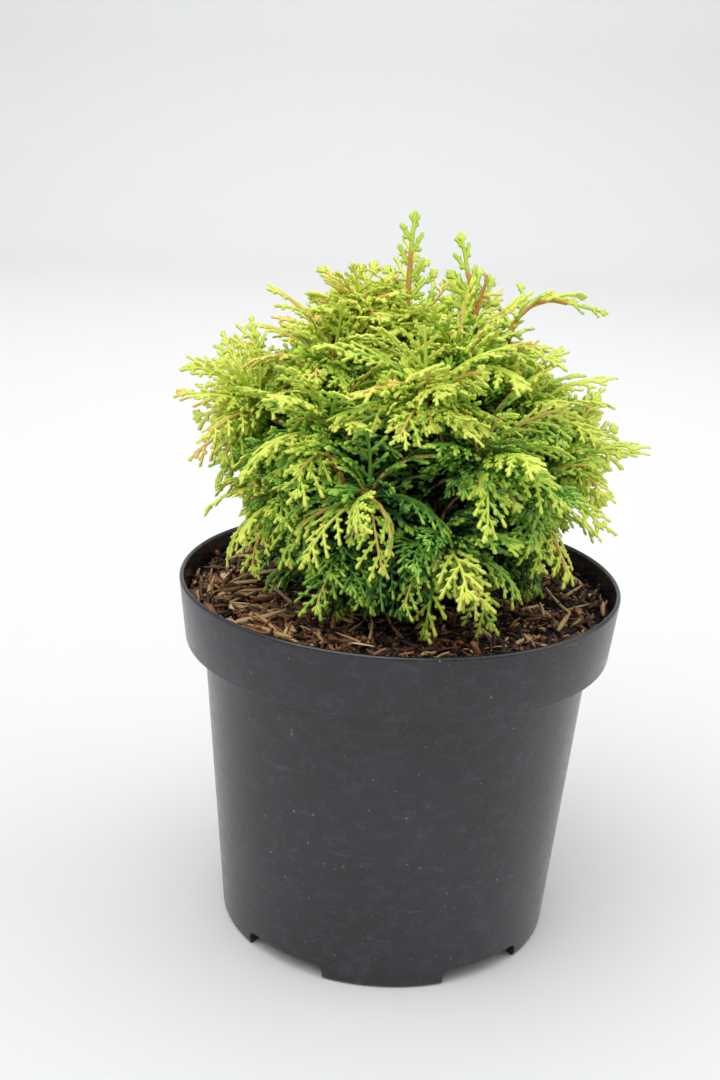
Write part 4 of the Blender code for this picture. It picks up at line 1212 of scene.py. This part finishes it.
def chip(shape, place, turns, length, width, thickness, bow, mark):
    """Adds one splinter of bark: a flat, tapered and bent stick with torn ends."""
    rows = []
    for i, taper in enumerate(CHIP_TAPERS):
        t = i / (len(CHIP_TAPERS) - 1)
        taper *= uniform(0.75, 1.15)
        x = (t - 0.5) * length
        z = bow * (1 - (2 * t - 1) ** 2)
        shift = uniform(-0.25, 0.25) * width
        half, thick = width * taper / 2, thickness * (0.6 + 0.4 * taper) / 2
        rows += [(x, half + shift, z), (x, shift, z + thick), (x, shift - half, z), (x, shift, z - thick)]
    yaw, tilt, roll = turns
    turn = Matrix.Rotation(yaw, 3, "Z") @ Matrix.Rotation(tilt, 3, "Y") @ Matrix.Rotation(roll, 3, "X")
    points = np.array(rows) @ np.array(turn).T + np.array(place)
    last = len(rows) - 4
    ends = [(0, 2, 1), (0, 3, 2), (last, last + 1, last + 2), (last, last + 2, last + 3)]
    shape.add(points, np.concatenate([ring_faces(len(CHIP_TAPERS), 4, False), ends]), mark)


def make_chips():
    """The bark chips: fine shreds on the right, longer straw and splinters on the left."""
    seed(CHIP_SEED)
    shape = Shape()
    limit = rim_inner_radius(GROUND_Z) - CHIP_EDGE
    for _ in range(CHIP_COUNT):
        out = limit * sqrt(random())
        turn = uniform(0, CIRCLE)
        x, y = polar(out, turn)
        left = smooth(-x, -0.01, 0.045)
        mark = choices(range(len(CHIP_TINTS)), CHIP_SHARES)[0]
        length = (0.0020 + 0.0066 * random() ** 2.5) * (1 + 0.4 * left)
        width = length * uniform(0.12, 0.40) + 0.0004
        if random() < LONG_CHIP_SHARE * (0.3 + 2 * left):
            length = uniform(0.013, 0.026)
            width = uniform(0.0012, 0.0028)
            mark = choice(LONG_CHIP_TINTS)
        thickness = min(CHIP_THICKNESS, width * uniform(0.35, 0.7))
        length = min(length, 2 * (limit + CHIP_EDGE / 2 - out) + 0.004)
        if hypot(x - TRUNK_FOOT.x, y - TRUNK_FOOT.y) < CHIP_FREE_RADIUS + length / 2:
            continue
        if out + length / 2 > limit:
            yaw = turn + pi / 2 + uniform(-0.25, 0.25)
        else:
            yaw = uniform(0, pi)
        z = mulch_height(x, y) + thickness / 2 + abs(gauss(0, 0.0013))
        tilt = gauss(0, 0.42 if length < 0.009 else 0.14)
        z += abs(sin(tilt)) * length / 3
        turns = (yaw, tilt, gauss(0, 0.7))
        bow = length * uniform(-0.04, 0.08)
        chip(shape, (x, y, z), turns, length, width, thickness, bow, mark)
    for _ in range(FIBRE_COUNT):
        x, y = (c + gauss(0, 0.0022) for c in FIBRE_PLACE)
        length = uniform(0.012, 0.021)
        z = mulch_height(x, y) + 0.0012 + uniform(0, 0.0035)
        mark = choice(FIBRE_TINTS)
        turns = (FIBRE_YAW + gauss(0, 0.10), gauss(0, 0.10), uniform(0, 1.5))
        chip(shape, (x, y, z), turns, length, *FIBRE_SIZES, mark)
    materials = tinted("chip", CHIP_TINTS, CHIP_ROUGHNESS)
    pieces_from("bark_chips", shape, materials, ["bark_mulch"])


def bark_relief(line, sides, phase):
    """How bark swells and splits a limb: a factor on its radius at each (ring, side)."""
    relief = np.ones((len(line), sides))
    for i, point in enumerate(line):
        for k in range(sides):
            turn = CIRCLE * k / sides
            ridge = noise.noise(Vector((*polar(2.4, turn), point.length * 160 + phase)))
            lump = noise.noise(Vector((*polar(1, turn), point.length * 60 + phase)))
            relief[i, k] = 1 + BARK_RELIEF * (1 - abs(ridge) * 2 - 0.5) + BARK_RELIEF * lump
    return relief


def make_limbs(masses, material):
    """The trunk and the boughs with the relief of their bark, as one mesh."""
    shape = Shape()
    rings, sides = TRUNK_MESH
    shares = [(i / (rings - 1)) ** 1.25 for i in range(rings)]
    line = [trunk_point(s) for s in shares]
    tube(shape, line, [trunk_radius(s) for s in shares], 0, bark_relief(line, sides, 3.0))
    names = ["trunk"]
    rings, sides = BOUGH_MESH
    for mass in masses:
        if mass.bough_height is None:
            continue
        line, radii = bough_curve(mass, rings)
        tube(shape, line, radii, 0, bark_relief(line, sides, mass.seed * 7.3))
        names.append(mass.name.replace("foliage_", "bough_"))
    pieces_from("limbs", shape, [("bark", material)], names)


# Stage


def make_floor():
    """A pale floor that sweeps up behind the plant."""
    sweep = arc(WALL_Y - SWEEP_RADIUS, SWEEP_RADIUS, SWEEP_RADIUS, -90, 0, 15)
    rows = [(-FLOOR_HALF_WIDTH, 0.0), *sweep, (WALL_Y, WALL_HEIGHT)]
    points = [(x, y, z) for y, z in rows for x in (-FLOOR_HALF_WIDTH, FLOOR_HALF_WIDTH)]
    faces = [(2 * i, 2 * i + 1, 2 * i + 3, 2 * i + 2) for i in range(len(rows) - 1)]
    floor = object_from("floor", points, faces, plain("stage_floor", FLOOR_COLOUR, 0.7, 0.2))


def make_world():
    """A soft studio round the plant, brightest above and behind it."""
    world = bpy.data.worlds.new("studio")
    bpy.context.scene.world = world
    graph = Graph(world, "Background", "Generated")
    towards = graph.add("VectorMath", {0: graph.place, 1: STUDIO_TOP}, operation="DOT_PRODUCT")
    strength = graph.spread(towards.outputs["Value"], *STUDIO_RISE, *STUDIO_RANGE)
    graph.feed(graph.shader, {"Color": STUDIO_COLOUR, "Strength": strength})


def add_lamp(name, place, target, size, power):
    """A square soft light that looks at a target."""
    light = bpy.data.lights.new(name, "AREA")
    light.shape = "SQUARE"
    light.size = size
    light.energy = power
    lamp = placed(name, light)
    lamp.location = place
    lamp.rotation_euler = (Vector(target) - Vector(place)).to_track_quat("-Z", "Y").to_euler()


def make_stage():
    """The floor, the studio's light and its lamps."""
    make_floor()
    make_world()
    for lamp in LAMPS:
        add_lamp(*lamp)
    bpy.context.scene.view_settings.view_transform = "Standard"


def make_camera():
    """The photo's camera."""
    camera = bpy.data.cameras.new("camera")
    camera.lens = CAMERA_LENS
    camera.sensor_width = CAMERA_SENSOR
    camera.clip_start = CAMERA_NEAR
    holder = placed("camera", camera)
    tilt = Matrix.Rotation(pi / 2 - CAMERA_PITCH, 4, "X")
    holder.matrix_world = Matrix.Translation(CAMERA_PLACE) @ tilt @ Matrix.Rotation(CAMERA_ROLL, 4, "Z")
    bpy.context.scene.camera = holder


make_camera()
make_stage()
all_masses = plant_masses()
make_pot(pot_material())
make_mulch(soil_material())
make_chips()
make_limbs(all_masses, bark_material())
make_foliage(all_masses)
